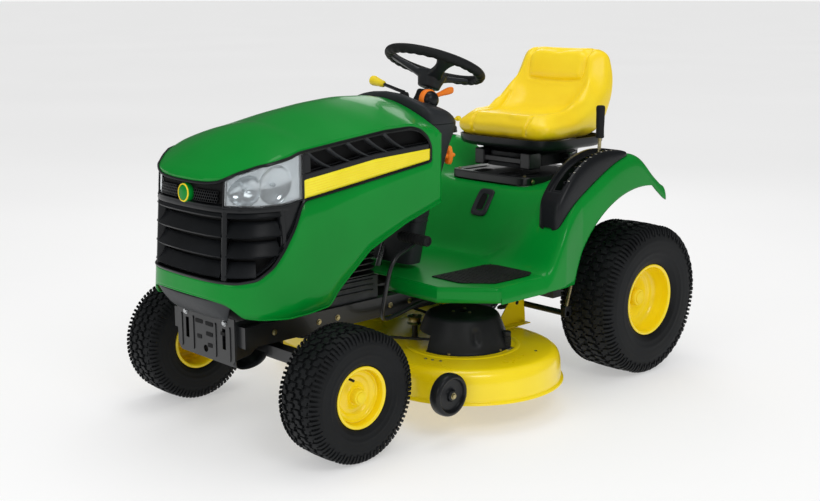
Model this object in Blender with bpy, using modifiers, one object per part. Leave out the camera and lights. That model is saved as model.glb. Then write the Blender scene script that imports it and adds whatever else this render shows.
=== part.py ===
"""Riding lawn mower: frame, body, running gear, controls and twin-blade deck as separate parts."""
from math import asin, atan2, cos, hypot, pi, radians, sin, sqrt

import bmesh
import bpy
import numpy as np
from mathutils import Matrix, Vector

# Everything is in metres. The machine faces -Y and the driver's left side is +X.
GAP = 0.0003
MACHINE_SHIFT = (0.0875, 0.006, 0.0)

WHEELBASE = 1.24
AXLE_Y = WHEELBASE / 2
FRONT_WHEEL = {"radius": 0.187, "width": 0.152, "rim": 0.088, "track": 0.77, "bore": 0.0100, "dish": 0.030}
REAR_WHEEL = {"radius": 0.253, "width": 0.210, "rim": 0.120, "track": 0.82, "bore": 0.0125, "dish": 0.022}
WHEEL_STEPS = 20

RAIL_X = (0.147, 0.173)
RAIL_Z = (0.300, 0.360)
FRAME_Y = (-0.800, 0.750)

KINGPIN_X = 0.285
HOOD_PIVOT = (0.0, -0.860, 0.420)
WHEEL_CENTRE = Vector((0.0, 0.098, 1.031))
COLUMN_TILT = radians(22)
COLUMN_DOWN = Vector((0, -sin(COLUMN_TILT), -cos(COLUMN_TILT)))
LIFT_PIVOT = (0.0, 0.300, 0.245)
BRAKE_PIVOT = (0.20, -0.120, 0.330)
SEAT_PIVOT = (0.0, 0.352, 0.6475)

DECK_RADIUS = 0.305
DECK_RIM_Z = 0.088
DECK_TOP_Z = 0.185
SPINDLES = {"left": (0.265, -0.040), "right": (-0.265, 0.040)}
BLADE_LENGTH = 0.530
CRANK_XY = (0.0, -0.440)

FINISHES = {
    "green": ((0.00, 0.30, 0.05), 0.30, 0.0),
    "yellow_paint": ((0.90, 0.68, 0.02), 0.35, 0.0),
    "yellow_vinyl": ((0.88, 0.68, 0.03), 0.50, 0.0),
    "black_plastic": ((0.025, 0.027, 0.030), 0.50, 0.0),
    "orange_plastic": ((0.90, 0.22, 0.02), 0.40, 0.0),
    "rubber": ((0.016, 0.016, 0.017), 0.80, 0.0),
    "steel": ((0.55, 0.55, 0.56), 0.35, 1.0),
    "cast": ((0.10, 0.10, 0.11), 0.60, 0.6),
    "lens": ((0.75, 0.80, 0.82), 0.10, 0.0),
}

for old in list(bpy.data.objects):
    bpy.data.objects.remove(old, do_unlink=True)

parts = bpy.data.collections.new("riding_lawn_mower")
cutters = bpy.data.collections.new("cutters")
bpy.context.scene.collection.children.link(parts)
bpy.context.scene.collection.children.link(cutters)
machine = bpy.data.objects.new("machine", None)
machine.location = MACHINE_SHIFT
parts.objects.link(machine)


# ---------------------------------------------------------------- shared tools

def finish(name, kind):
    colour, roughness, metallic = FINISHES[kind]
    material = bpy.data.materials.new(name + "_" + kind)
    material.use_nodes = True
    shader = material.node_tree.nodes["Principled BSDF"]
    shader.inputs["Base Color"].default_value = (*colour, 1.0)
    shader.inputs["Roughness"].default_value = roughness
    shader.inputs["Metallic"].default_value = metallic
    material.diffuse_color = (*colour, 1.0)
    return material


def add_part(name, mesh, kind, pivot=(0.0, 0.0, 0.0), smooth=True):
    """Put a mesh modelled in machine coordinates on an object whose origin is the pivot."""
    mesh.transform(Matrix.Translation(-Vector(pivot)))
    mesh.name = name
    mesh.materials.clear()
    mesh.materials.append(finish(name, kind))
    if smooth:
        mesh.shade_smooth()
        mesh.set_sharp_from_angle(angle=radians(35))
    part = bpy.data.objects.new(name, mesh)
    part.location = pivot
    part.parent = machine
    parts.objects.link(part)
    return part


def add_cutter(name, mesh):
    cutter = bpy.data.objects.new(name, mesh)
    cutter.parent = machine
    cutter.hide_render = True
    cutter.display_type = "WIRE"
    cutters.objects.link(cutter)
    return cutter


def boolean(part, mesh, operation="DIFFERENCE"):
    cutter = add_cutter(part.name + "_" + operation.lower(), mesh)
    step = part.modifiers.new(operation.lower(), "BOOLEAN")
    step.operation = operation
    step.object = cutter


def add_fused(name, kind, pivot, first, *others):
    """One body from shapes that run into each other."""
    part = add_part(name, first, kind, pivot)
    for mesh in others:
        boolean(part, mesh, "UNION")
    return part


def to_mesh(bm):
    mesh = bpy.data.meshes.new("shape")
    bm.to_mesh(mesh)
    bm.free()
    return mesh


def add_box(bm, low, high):
    low, high = Vector(low), Vector(high)
    place = Matrix.Translation((low + high) / 2)
    size = Matrix.Diagonal((*(high - low), 1.0))
    bmesh.ops.create_cube(bm, size=1.0, matrix=place @ size)


def add_rod(bm, start, end, radius, segments=12, end_radius=None):
    start, end = Vector(start), Vector(end)
    along = end - start
    place = Matrix.Translation((start + end) / 2) @ along.to_track_quat("Z", "Y").to_matrix().to_4x4()
    bmesh.ops.create_cone(bm, cap_ends=True, segments=segments, radius1=radius,
                          radius2=radius if end_radius is None else end_radius,
                          depth=along.length, matrix=place)


def boxes(*corners):
    bm = bmesh.new()
    for low, high in corners:
        add_box(bm, low, high)
    return to_mesh(bm)


def rods(*items, segments=12):
    bm = bmesh.new()
    for start, end, radius in items:
        add_rod(bm, start, end, radius, segments)
    return to_mesh(bm)


def curve_to_mesh(curve):
    """A curve has no closed mesh of its own: evaluate it, weld its caps, and keep only the mesh."""
    carrier = bpy.data.objects.new("curve", curve)
    parts.objects.link(carrier)
    graph = bpy.context.evaluated_depsgraph_get()
    mesh = bpy.data.meshes.new_from_object(carrier.evaluated_get(graph))
    bpy.data.objects.remove(carrier, do_unlink=True)
    bm = bmesh.new()
    bm.from_mesh(mesh)
    bmesh.ops.remove_doubles(bm, verts=bm.verts, dist=0.00002)
    bmesh.ops.recalc_face_normals(bm, faces=bm.faces)
    return to_mesh(bm)


def tube(points, radius, closed=False, resolution=2):
    curve = bpy.data.curves.new("tube", "CURVE")
    curve.dimensions = "3D"
    curve.bevel_depth = radius
    curve.bevel_resolution = resolution
    curve.use_fill_caps = True
    spline = curve.splines.new("POLY")
    spline.points.add(len(points) - 1)
    for point, place in zip(spline.points, points):
        point.co = (*place, 1.0)
    spline.use_cyclic_u = closed
    return curve_to_mesh(curve)


PLANES = {
    "yz": Matrix(((0, 0, 1, 0), (1, 0, 0, 0), (0, 1, 0, 0), (0, 0, 0, 1))),
    "xz": Matrix(((1, 0, 0, 0), (0, 0, -1, 0), (0, 1, 0, 0), (0, 0, 0, 1))),
    "xy": Matrix(),
}


def extruded(outline, plane, low, high, holes=()):
    """A flat outline with holes, drawn in a plane and given thickness from low to high."""
    curve = bpy.data.curves.new("outline", "CURVE")
    curve.dimensions = "2D"
    curve.fill_mode = "BOTH"
    curve.extrude = (high - low) / 2
    for ring in (outline, *holes):
        spline = curve.splines.new("POLY")
        spline.points.add(len(ring) - 1)
        for point, (across, up) in zip(spline.points, ring):
            point.co = (across, up, 0.0, 1.0)
        spline.use_cyclic_u = True
    mesh = curve_to_mesh(curve)
    middle = (high + low) / 2 * (-1 if plane == "xz" else 1)
    mesh.transform(PLANES[plane] @ Matrix.Translation((0, 0, middle)))
    return mesh


def circle(x, y, radius, count=16):
    turns = [2 * pi * index / count for index in range(count)]
    return [(x + radius * cos(turn), y + radius * sin(turn)) for turn in turns]


def add_turned(name, profile, kind, centre, axis="Z", steps=24):
    """Turn a profile of (radius, height) points about its local Z, then lay that axis along X or Z."""
    mesh = bpy.data.meshes.new(name)
    count = len(profile)
    edges = [(index, (index + 1) % count) for index in range(count)]
    mesh.from_pydata([(radius, 0.0, height) for radius, height in profile], edges, [])
    part = add_part(name, mesh, kind, smooth=False)
    part.location = centre
    part.rotation_euler = {"Z": (0, 0, 0), "X": (0, pi / 2, 0), "-X": (0, -pi / 2, 0)}[axis]
    screw = part.modifiers.new("turn", "SCREW")
    screw.steps = steps
    screw.render_steps = steps
    screw.use_merge_vertices = True
    screw.merge_threshold = 0.00001
    screw.use_smooth_shade = True
    return part


def grid_mesh(rows):
    """A surface through rows of points, with its coincident points welded."""
    bm = bmesh.new()
    verts = [[bm.verts.new(point) for point in row] for row in rows]
    for lower, upper in zip(verts, verts[1:]):
        for index in range(len(lower) - 1):
            bm.faces.new((lower[index], lower[index + 1], upper[index + 1], upper[index]))
    bmesh.ops.remove_doubles(bm, verts=bm.verts, dist=0.00005)
    return to_mesh(bm)


def thicken(part, thickness, mirrored=False):
    if mirrored:
        mirror = part.modifiers.new("other_side", "MIRROR")
        mirror.merge_threshold = 0.0001
    wall = part.modifiers.new("wall", "SOLIDIFY")
    wall.thickness = thickness
    wall.offset = -1.0


def bevel(part, width, segments=1):
    edge = part.modifiers.new("edge", "BEVEL")
    edge.width = width
    edge.segments = segments
    edge.angle_limit = radians(40)


def follow(value, table):
    """Read a height from a short table of (place, height) pairs."""
    return float(np.interp(value, [place for place, _ in table], [height for _, height in table]))


# ---------------------------------------------------------------- chassis

def make_frame():
    inner, outer = RAIL_X
    bottom, top = RAIL_Z
    outline = [(-outer, FRAME_Y[0]), (outer, FRAME_Y[0]), (outer, FRAME_Y[1]), (-outer, FRAME_Y[1])]
    crossmembers = [(-0.800, -0.780), (-0.672, -0.650), (-0.590, -0.566), (0.020, 0.050), (0.730, 0.750)]
    windows = [[(-inner, rear), (inner, rear), (inner, front), (-inner, front)]
               for (_, rear), (front, _) in zip(crossmembers, crossmembers[1:])]
    hangers = [boxes(((-0.040, start, 0.215), (0.040, end, 0.320))) for start,
               end in ((-0.672, -0.662), (-0.578, -0.568))]
    add_fused("main_frame", "black_plastic", (0, 0, 0), extruded(outline, "xy", bottom, top, windows),
              *hangers)


def make_plates():
    slots = [[(side * 0.09 - 0.008, 0.285), (side * 0.09 + 0.008, 0.285),
              (side * 0.09 + 0.008, 0.345), (side * 0.09 - 0.008, 0.345)] for side in (-1, 1)]
    outline = [(-0.140, 0.262), (-0.122, 0.243), (0.122, 0.243), (0.140, 0.262), (0.140, 0.380),
               (-0.140, 0.380)]
    mesh = extruded(outline, "xz", -0.812, -0.808, [*slots, circle(0, 0.270, 0.011, 12)])
    add_part("front_hitch_plate", mesh, "black_plastic")
    profile = [(0.7503, 0.390), (0.7503, 0.262), (0.850, 0.262), (0.850, 0.267), (0.7553, 0.267),
               (0.7553, 0.390)]
    plate = add_part("rear_hitch_plate", extruded(profile, "yz", -0.125, 0.125), "black_plastic")
    boolean(plate, rods(((0, 0.825, 0.24), (0, 0.825, 0.29), 0.0095)))


def make_bumper_guard():
    plan = [(0, -0.877), (0.100, -0.875), (0.155, -0.866), (0.180, -0.845), (0.190, -0.800)]
    levels = [(0.372, 0.90, 0.040), (0.400, 0.95, 0.018), (0.443, 1.0, 0.0)]
    rows = [[(x * spread, y + back * (1.0 if y < -0.81 else 0.2), z) for x, y in plan] for z, spread,
            back in levels]
    thicken(add_part("bumper_guard", grid_mesh(rows), "black_plastic"), 0.004, mirrored=True)


# ---------------------------------------------------------------- engine and drive

def make_engine():
    add_fused("engine_block", "cast", (0, 0, 0), boxes(((-0.160, -0.560, 0.3603), (0.160, -0.300, 0.430))),
              boxes(((-0.115, -0.600, 0.400), (0.115, -0.290, 0.600))))
    dome = [(0.012, 0.790), (0.075, 0.782), (0.120, 0.750), (0.140, 0.690), (0.140, 0.6003),
            (0.012, 0.6003)]
    add_turned("engine_shroud", [(r, z) for r, z in dome], "black_plastic", (0, -0.445, 0), steps=20)
    add_part("muffler", rods(((-0.120, -0.660, 0.440), (0.120, -0.660, 0.440), 0.045), segments=20),
             "steel")
    def groove(low, high, radius):
        middle = (low + high) / 2
        floor = radius - 0.007
        return [(radius, high), (floor, middle + 0.003), (floor, middle - 0.003), (radius, low)]

    hub = 0.0125
    pulley = [(0.005, 0.3598), (hub, 0.3598), (hub, 0.290), *groove(0.272, 0.288, 0.045),
              (hub, 0.270), (hub, 0.260), *groove(0.242, 0.258, 0.060),
              (hub, 0.240), (hub, 0.236), (0.005, 0.236)]
    add_turned("crank_pulley", pulley, "steel", (*CRANK_XY, 0.0), steps=20)


def make_transaxle():
    case = boxes(((-0.130, 0.562, 0.200), (0.130, 0.700, 0.298)))
    shaft = rods(((-0.430, AXLE_Y, 0.253), (0.430, AXLE_Y, 0.253), 0.012), segments=14)
    add_fused("transaxle", "cast", (0, 0, 0), case, shaft)


def belt_loop(pulleys, height):
    """The outer tangent loop round pulleys listed anticlockwise as (x, y, radius)."""
    points = []
    count = len(pulleys)
    for index, (x, y, radius) in enumerate(pulleys):
        angles = []
        for (ax, ay, ar), (bx, by, br) in ((pulleys[index - 1], pulleys[index]),
                                           (pulleys[index], pulleys[(index + 1) % count])):
            heading = atan2(by - ay, bx - ax)
            angles.append(heading - pi / 2 + asin((br - ar) / hypot(bx - ax, by - ay)) * -1)
        start, end = angles
        while end < start:
            end += 2 * pi
        steps = 8
        for step in range(steps + 1):
            turn = start + (end - start) * step / steps
            px, py = x + radius * cos(turn), y + radius * sin(turn)
            points.append((px, py, height(py)))
    return points


def make_belts():
    clear = 0.0055
    def slope(y):
        return follow(y, [(-0.500, 0.250), (-0.380, 0.250), (-0.110, 0.213), (0.200, 0.213)])

    loop = belt_loop([(*CRANK_XY, 0.060 + clear), (*SPINDLES["left"], 0.060 + clear),
                      (*SPINDLES["right"], 0.060 + clear)], slope)
    add_part("mower_belt", tube(loop, 0.0045, closed=True, resolution=1), "rubber")


# ---------------------------------------------------------------- wheels and steering

def rim_profile(size):
    """Closed section of a stamped rim: hub, dished web, barrel and two flanges."""
    half = 0.43 * size["width"]
    flange, bore, dish = size["rim"], size["bore"], size["dish"]
    barrel = flange - 0.0105
    well = barrel - 0.003
    return [(bore, 0.040), (0.026, 0.040), (0.026, dish), (well - 0.002, dish + 0.004), (well, half),
            (flange, half), (flange, half - 0.0055), (barrel, half - 0.0055), (barrel, 0.0055 - half),
            (flange, 0.0055 - half), (flange, -half), (well, -half), (well - 0.001, dish - 0.003),
            (0.026, dish - 0.006), (0.026, -0.040), (bore, -0.040)]


def tyre_profile(size):
    """Closed section of a tyre seated between the rim's flanges."""
    half = 0.43 * size["width"] - 0.006
    bead = size["rim"] - 0.0105 + GAP
    lip = size["rim"] + GAP
    radius, wide = size["radius"], size["width"] / 2
    tall = radius - lip
    side = [(bead, half), (lip, half), (lip, half + 0.008), (lip + 0.22 * tall, wide * 0.965),
            (lip + 0.55 * tall, wide), (lip + 0.82 * tall, wide * 0.95), (radius - 0.005, wide * 0.82),
            (radius, wide * 0.60)]
    return side + [(r, -a) for r, a in reversed(side)]


def make_wheels():
    for label, size, y in (("front", FRONT_WHEEL, -AXLE_Y), ("rear", REAR_WHEEL, AXLE_Y)):
        for side, axis, sign in (("left", "X", 1), ("right", "-X", -1)):
            centre = (sign * size["track"] / 2, y, size["radius"])
            add_turned(label + "_rim_" + side, rim_profile(size), "yellow_paint", centre, axis, WHEEL_STEPS)
            add_turned(label + "_tyre_" + side, tyre_profile(size), "rubber", centre, axis, WHEEL_STEPS)


def across(side, near, far, low_y, high_y, low_z, high_z):
    """A box given by its distances out from the centreline, on the left (1) or the right (-1)."""
    ends = sorted((side * near, side * far))
    return boxes(((ends[0], low_y, low_z), (ends[1], high_y, high_z)))


def make_front_axle():
    beam = boxes(((-0.275, -0.640, 0.222), (0.275, -0.600, 0.258)))
    pin = rods(((0, -0.6617, 0.240), (0, -0.5783, 0.240), 0.010), segments=14)
    kingpins = [((side * KINGPIN_X, -AXLE_Y, 0.212), (side * KINGPIN_X, -AXLE_Y, 0.268)) for side in (1,
                                                                                                      -1)]
    sleeves = [rods((*ends, 0.020), segments=16) for ends in kingpins]
    axle = add_fused("front_axle", "black_plastic", (0, -AXLE_Y, 0.240), beam, pin, *sleeves)
    for bottom, top in kingpins:
        lift = Vector((0, 0, 0.02))
        boolean(axle, rods((Vector(bottom) - lift, Vector(top) + lift, 0.0118), segments=14))
    for name, side in (("left", 1), ("right", -1)):
        pivot = (side * KINGPIN_X, -AXLE_Y, 0.187)
        add_fused("knuckle_" + name, "black_plastic", pivot,
                  across(side, 0.270, 0.300, -0.635, -0.605, 0.172, 0.2117),
                  rods(((pivot[0], -AXLE_Y, 0.190), (pivot[0], -AXLE_Y, 0.285), 0.011)),
                  rods(((side * 0.290, -AXLE_Y, 0.187), (side * 0.430, -AXLE_Y, 0.187), 0.0095)),
                  across(side, 0.277, 0.293, -0.620, -0.535, 0.190, 0.2035))
    add_fused("tie_rod", "steel", (0, 0, 0), boxes(((-0.270, -0.549, 0.2055), (0.270, -0.537, 0.2135))),
              across(1, 0.262, 0.290, -0.552, -0.534, 0.2040, 0.2150),
              across(-1, 0.262, 0.290, -0.552, -0.534, 0.2040, 0.2150))


def make_steering():
    lean = Matrix.Rotation(-COLUMN_TILT, 4, "X")
    place = Matrix.Translation(WHEEL_CENTRE) @ lean
    ring_radius, grip = 0.152, 0.0155
    hoop = [(ring_radius * cos(turn), ring_radius * sin(turn),
             0) for turn in (2 * pi * step / 28 for step in range(28))]
    rim = tube(hoop, grip, closed=True, resolution=1)
    rim.transform(place)
    bm = bmesh.new()
    bmesh.ops.create_cone(bm, cap_ends=True, segments=20, radius1=0.034, radius2=0.046, depth=0.050,
                          matrix=place @ Matrix.Translation((0, 0, -0.030)))
    shapes = [to_mesh(bm)]
    for angle in (90, 210, 330):
        spoke = boxes(((0.030, -0.019, -0.017), (0.150, 0.019, -0.007)))
        spoke.transform(place @ Matrix.Rotation(radians(angle), 4, "Z"))
        shapes.append(spoke)
    add_fused("steering_wheel", "black_plastic", WHEEL_CENTRE, rim, *shapes)
    shaft = rods((WHEEL_CENTRE + COLUMN_DOWN * 0.0555, WHEEL_CENTRE + COLUMN_DOWN * 0.700, 0.0095))
    add_part("steering_shaft", shaft, "steel", WHEEL_CENTRE)


def column_hole():
    """The way that the steering shaft takes, with running room round it."""
    return rods((WHEEL_CENTRE + COLUMN_DOWN * 0.06, WHEEL_CENTRE + COLUMN_DOWN * 0.72, 0.020))


# ---------------------------------------------------------------- dash and controls

def make_dash():
    levels = [(0.425, -0.135, -0.052, 0.120, 0), (0.500, -0.132, -0.040, 0.130, 0),
              (0.620, -0.130, -0.027, 0.150, 0),
              (0.700, -0.130, 0.018, 0.172, 0), (0.800, -0.130, 0.046, 0.190, 0), (0.855, -0.132, 0.050,
                                                                                   0.200, 0),
              (0.900, -0.132, 0.030, 0.198, 0.024), (0.908, -0.125, 0.010, 0.180, 0.024)]
    rows = []
    for z, front, back, half, rise in levels:
        middle, deep = (front + back) / 2, (back - front) / 2
        ring = []
        for step in range(17):
            turn = 2 * pi * step / 16
            across, along = cos(turn), sin(turn)
            reach = (abs(across) ** 5 + abs(along) ** 5) ** (-1 / 5)
            ring.append((half * across * reach, middle - deep * along * reach,
                         z + rise * max(0, along * reach)))
        rows.append(ring)
    top = [(0.0, middle, z + rise / 2)] * 17
    dash = add_part("dash_console", grid_mesh([row[::-1] for row in [*rows, top]]), "black_plastic")
    thicken(dash, 0.004)
    boolean(dash, column_hole())


def make_controls():
    add_fused("throttle_lever", "orange_plastic", (0.100, -0.031, 0.945),
              rods(((0.092, -0.031, 0.945), (0.108, -0.031, 0.945), 0.012)),
              boxes(((0.098, -0.030, 0.943), (0.102, 0.045, 0.949))),
              boxes(((0.088, 0.040, 0.938), (0.112, 0.080, 0.954))))
    root, collar, tip = Vector((-0.040, 0.0, 0.9465)), Vector((-0.135, 0.0, 0.966)), Vector((-0.195, 0.0,
                                                                                             0.978))
    bm = bmesh.new()
    add_rod(bm, collar, tip, 0.013, 14, 0.017)
    add_fused("pto_lever", "yellow_paint", root, rods((root, (collar + tip) / 2, 0.005), segments=10),
              to_mesh(bm))
    add_fused("ignition_key", "steel", (0.120, 0.070, 0.868),
              rods(((0.120, 0.058, 0.868), (0.120, 0.072, 0.868), 0.009)),
              boxes(((0.117, 0.0703, 0.856), (0.123, 0.092, 0.880))))
    add_part("cruise_lever", boxes(((0.086, 0.052, 0.742), (0.114, 0.084, 0.760))), "orange_plastic")


def make_pedals():
    route = [(0.240, -0.228, 0.5237), (0.252, -0.270, 0.515), (0.262, -0.318, 0.505),
             (0.264, -0.345, 0.470),
             (0.260, -0.360, 0.400), (0.252, -0.366, 0.340), (0.240, -0.350, 0.312), (0.225, -0.290, 0.312),
             (0.205, -0.180, 0.325), BRAKE_PIVOT]
    brake = add_part("brake_pedal", tube(route, 0.0065, resolution=1), "black_plastic", BRAKE_PIVOT)
    boolean(brake, rods(((0.180, -0.225, 0.5400), (0.300, -0.225, 0.5400), 0.0165), segments=16), "UNION")
    for name, x, y in (("forward_pedal", -0.290, -0.110), ("reverse_pedal", -0.390, -0.040)):
        profile = [(y - 0.050, 0.455), (y + 0.045, 0.472), (y + 0.043, 0.484), (y - 0.052, 0.467)]
        pedal = add_part(name, extruded(profile, "yz", x - 0.032, x + 0.032), "black_plastic",
                         (x, y + 0.060, 0.428))
        leg = rods(((x, y, 0.470), (x, y + 0.060, 0.428), 0.007))
        boolean(pedal, leg, "UNION")


# ---------------------------------------------------------------- body

HOOD_PLAN = [(0.0, -0.885), (0.070, -0.884), (0.135, -0.878), (0.180, -0.860), (0.214, -0.828),
             (0.236, -0.785),
             (0.248, -0.725), (0.255, -0.650), (0.259, -0.560), (0.262, -0.460), (0.264, -0.360), (0.266,
                                                                                                   -0.260),
             (0.268, -0.190), (0.268, -0.140)]
HOOD_LOWER = [(-0.885, 0.447), (-0.860, 0.436), (-0.828, 0.400), (-0.785, 0.391), (-0.705, 0.383),
              (-0.635, 0.387),
              (-0.568, 0.397), (-0.533, 0.440), (-0.490, 0.477), (-0.419, 0.536), (-0.281,
                                                                                   0.597), (-0.135, 0.645)]
HOOD_SHOULDER = [(-0.885, 0.772), (-0.828, 0.792), (-0.750, 0.818), (-0.660, 0.843), (-0.520, 0.864),
                 (-0.360, 0.883), (-0.260, 0.886), (-0.170, 0.862), (-0.140, 0.850)]
HOOD_SPINE = [(-0.620, 0.897), (-0.500, 0.926), (-0.400, 0.942), (-0.300, 0.952), (-0.200, 0.950),
              (-0.140, 0.940)]
SPINE_START = -0.620
FRONT_LEAN = 0.074


def hood_wall(plan_point, z, inset=0.0):
    """A point on the hood's wall: the plan outline leaned back as it rises, moved in by the inset."""
    x, y = plan_point
    lean = FRONT_LEAN * max(0.0, min(1.0, (-0.70 - y) / 0.15))
    inward_x = inset * min(1.0, x / 0.20)
    inward_y = inset * max(0.0, min(1.0, (-0.74 - y) / 0.10))
    return (x - inward_x, y + inward_y + lean * (z - 0.447), z)


def make_hood():
    rows = []
    for place in HOOD_PLAN:
        low, shoulder = follow(place[1], HOOD_LOWER), follow(place[1], HOOD_SHOULDER)
        spine_y = max(SPINE_START, place[1])
        spine = Vector((0, spine_y, follow(spine_y, HOOD_SPINE)))
        row = [hood_wall(place, low + (shoulder - low) * share) for share in (0, 0.35, 0.7, 1.0)]
        edge = Vector(row[-1])
        for reach in (0.95, 0.72, 0.45, 0.2, 0.0):
            point = spine + (edge - spine) * reach
            point.z = edge.z + (spine.z - edge.z) * (1 - reach ** 1.6)
            row.append(tuple(point))
        rows.append(row)
    hood = add_part("hood_shell", grid_mesh([row[::-1] for row in rows]), "green", HOOD_PIVOT)
    thicken(hood, 0.004, mirrored=True)
    grille_window = [(-0.95, 0.500), (-0.846, 0.500), (-0.796, 0.510), (-0.750, 0.542), (-0.716, 0.585),
                     (-0.690, 0.638), (-0.672, 0.682), (-0.842, 0.690), (-0.842, 0.746), (-0.95, 0.746)]
    boolean(hood, extruded(grille_window, "yz", -0.35, 0.35))
    lamp_window = [(-0.95, 0.703), (-0.95, 0.760), (-0.840, 0.773), (-0.748, 0.800), (-0.690, 0.806),
                   (-0.630, 0.777), (-0.655, 0.700)]
    vent_window = [(-0.640, 0.770), (-0.652, 0.830), (-0.519, 0.846), (-0.363, 0.862), (-0.263, 0.866),
                   (-0.222, 0.846), (-0.182, 0.815)]
    for sign in (1, -1):
        span = sorted((sign * 0.158, sign * 0.35))
        boolean(hood, extruded(lamp_window, "yz", *span))
        span = sorted((sign * 0.20, sign * 0.35))
        boolean(hood, extruded(vent_window, "yz", *span))


def wall_patch(name, kind, first, last, low, high, inset, thickness):
    """A skin that follows the hood's wall inside its window, from one plan point to another."""
    plan = HOOD_PLAN[first:last]
    levels = [low, low + (high - low) / 3, low + (high - low) * 2 / 3, high]
    rows = [[hood_wall(place, z, inset) for place in plan] for z in levels]
    for side in ("left",) if first == 0 else ("left", "right"):
        if side == "right":
            rows = [[(-x, y, z) for x, y, z in row[::-1]] for row in rows]
        label = name if first == 0 else name + "_" + side
        patch = add_part(label, grid_mesh([row[::-1] for row in rows[::-1]]), kind, HOOD_PIVOT)
        thicken(patch, thickness, mirrored=first == 0)


def make_hood_inserts():
    wall_patch("grille", "black_plastic", 0, 8, 0.484, 0.756, 0.0105, 0.004)
    wall_patch("headlight", "lens", 3, 9, 0.694, 0.781, 0.0060, 0.0025)
    wall_patch("side_vent", "black_plastic", 7, 13, 0.766, 0.842, 0.0095, 0.0025)


FENDER_CENTRE = [(-0.225, 0.410), (0.190, 0.410), (0.240, 0.500), (0.300, 0.600), (0.330, 0.622),
                 (0.700, 0.622),
                 (0.720, 0.600), (0.745, 0.540)]
FENDER_TOP = [(-0.225, 0.410), (0.125, 0.410), (0.160, 0.470), (0.200, 0.540), (0.240, 0.585),
              (0.280, 0.618),
              (0.330, 0.648), (0.380, 0.676), (0.440, 0.708), (0.500, 0.733), (0.560, 0.746), (0.600,
                                                                                               0.736),
              (0.640, 0.706), (0.680, 0.668), (0.720, 0.640), (0.745, 0.620)]
QUADRANT_TOP = [(0.200, 0.618), (0.230, 0.655), (0.270, 0.698), (0.310, 0.728), (0.360, 0.750),
                (0.425, 0.765),
                (0.490, 0.760), (0.550, 0.754)]
FENDER_STATIONS = [-0.225, -0.100, 0.050, 0.125, 0.160, 0.200, 0.240, 0.280, 0.330, 0.380, 0.440, 0.500,
                   0.560, 0.600,
                   0.640, 0.680, 0.720, 0.745]
FENDER_ARC = 0.380


def fender_lip(y):
    """Lower edge: level beside the footrest, then an arc round the rear axle."""
    reach = FENDER_ARC ** 2 - (y - AXLE_Y) ** 2
    arc = REAR_WHEEL["radius"] + sqrt(max(0.0, reach))
    return max(0.360, arc) if reach > 0 else 0.360


def make_fender_deck():
    rows = []
    for y in FENDER_STATIONS:
        centre, top, lip = follow(y, FENDER_CENTRE), follow(y, FENDER_TOP), fender_lip(y)
        edge = 0.478 - 0.018 * max(0.0, min(1.0, (y - 0.20) / 0.10))
        lip = min(lip, top - 0.052)
        section = [(0, centre), (0.145, centre), (0.200, centre * 0.8 + top * 0.2),
                   (0.300, centre * 0.2 + top * 0.8),
                   (0.345, top), (edge - 0.036, top), (edge - 0.014, top - 0.010), (edge - 0.004,
                                                                                    top - 0.034),
                   (edge, lip)]
        row = []
        for x, z in section:
            front = -0.226 + 0.95 * max(0.0, x - 0.340)
            row.append((x, y if y > 0 else front * y / -0.225, z))
        rows.append(row)
    fender = add_part("fender_deck", grid_mesh(rows), "green")
    thicken(fender, 0.004, mirrored=True)
    boolean(fender, column_hole())
    boolean(fender, boxes(((0.386, 0.250, 0.45), (0.414, 0.478, 0.90))))
    for name, side in (("left", 1), ("right", -1)):
        add_part("footrest_mat_" + name, across(side, 0.225, 0.435, -0.150, 0.115, 0.4103, 0.4150),
                 "rubber")


def make_lift_quadrant():
    """Bridge over the lift lever's slot: its top is QUADRANT_TOP, and its foot lies on the fender."""
    stations = [y for y in FENDER_STATIONS if QUADRANT_TOP[0][0] < y < QUADRANT_TOP[-1][0]]
    stations = [QUADRANT_TOP[0][0], *stations, QUADRANT_TOP[-1][0]]
    outline = [(y, follow(y, QUADRANT_TOP)) for y in stations]
    outline += [(y, follow(y, FENDER_TOP) + GAP) for y in reversed(stations)]
    quadrant = add_part("lift_quadrant", extruded(outline, "yz", 0.358, 0.432), "black_plastic")
    boolean(quadrant, boxes(((0.390, 0.246, 0.45), (0.410, 0.482, 0.90))))


def make_lift_lever():
    x = 0.400
    route = [(x, 0.300, 0.262), (x, 0.350, 0.420), (x, 0.400, 0.580), (x, 0.440, 0.700),
             (x, 0.448, 0.760), (x, 0.449, 0.7997)]
    shaft = rods(((-0.230, 0.300, 0.245), (0.410, 0.300, 0.245), 0.010))
    lever = add_part("lift_lever", shaft, "black_plastic", LIFT_PIVOT)
    boolean(lever, tube(route, 0.006, resolution=1), "UNION")
    boolean(lever, boxes(((0.388, 0.288, 0.235), (0.412, 0.312, 0.275))), "UNION")
    for side in (-1, 1):
        boolean(lever, boxes(((side * 0.2 - 0.006, 0.195, 0.239), (side * 0.2 + 0.006, 0.300, 0.251))),
                "UNION")
    grip = rods(((x, 0.449, 0.800), (x, 0.450, 0.905), 0.015), segments=14)
    bevel(add_part("lift_grip", grip, "black_plastic", LIFT_PIVOT), 0.004, 2)


# ---------------------------------------------------------------- seat, tank and battery

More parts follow.
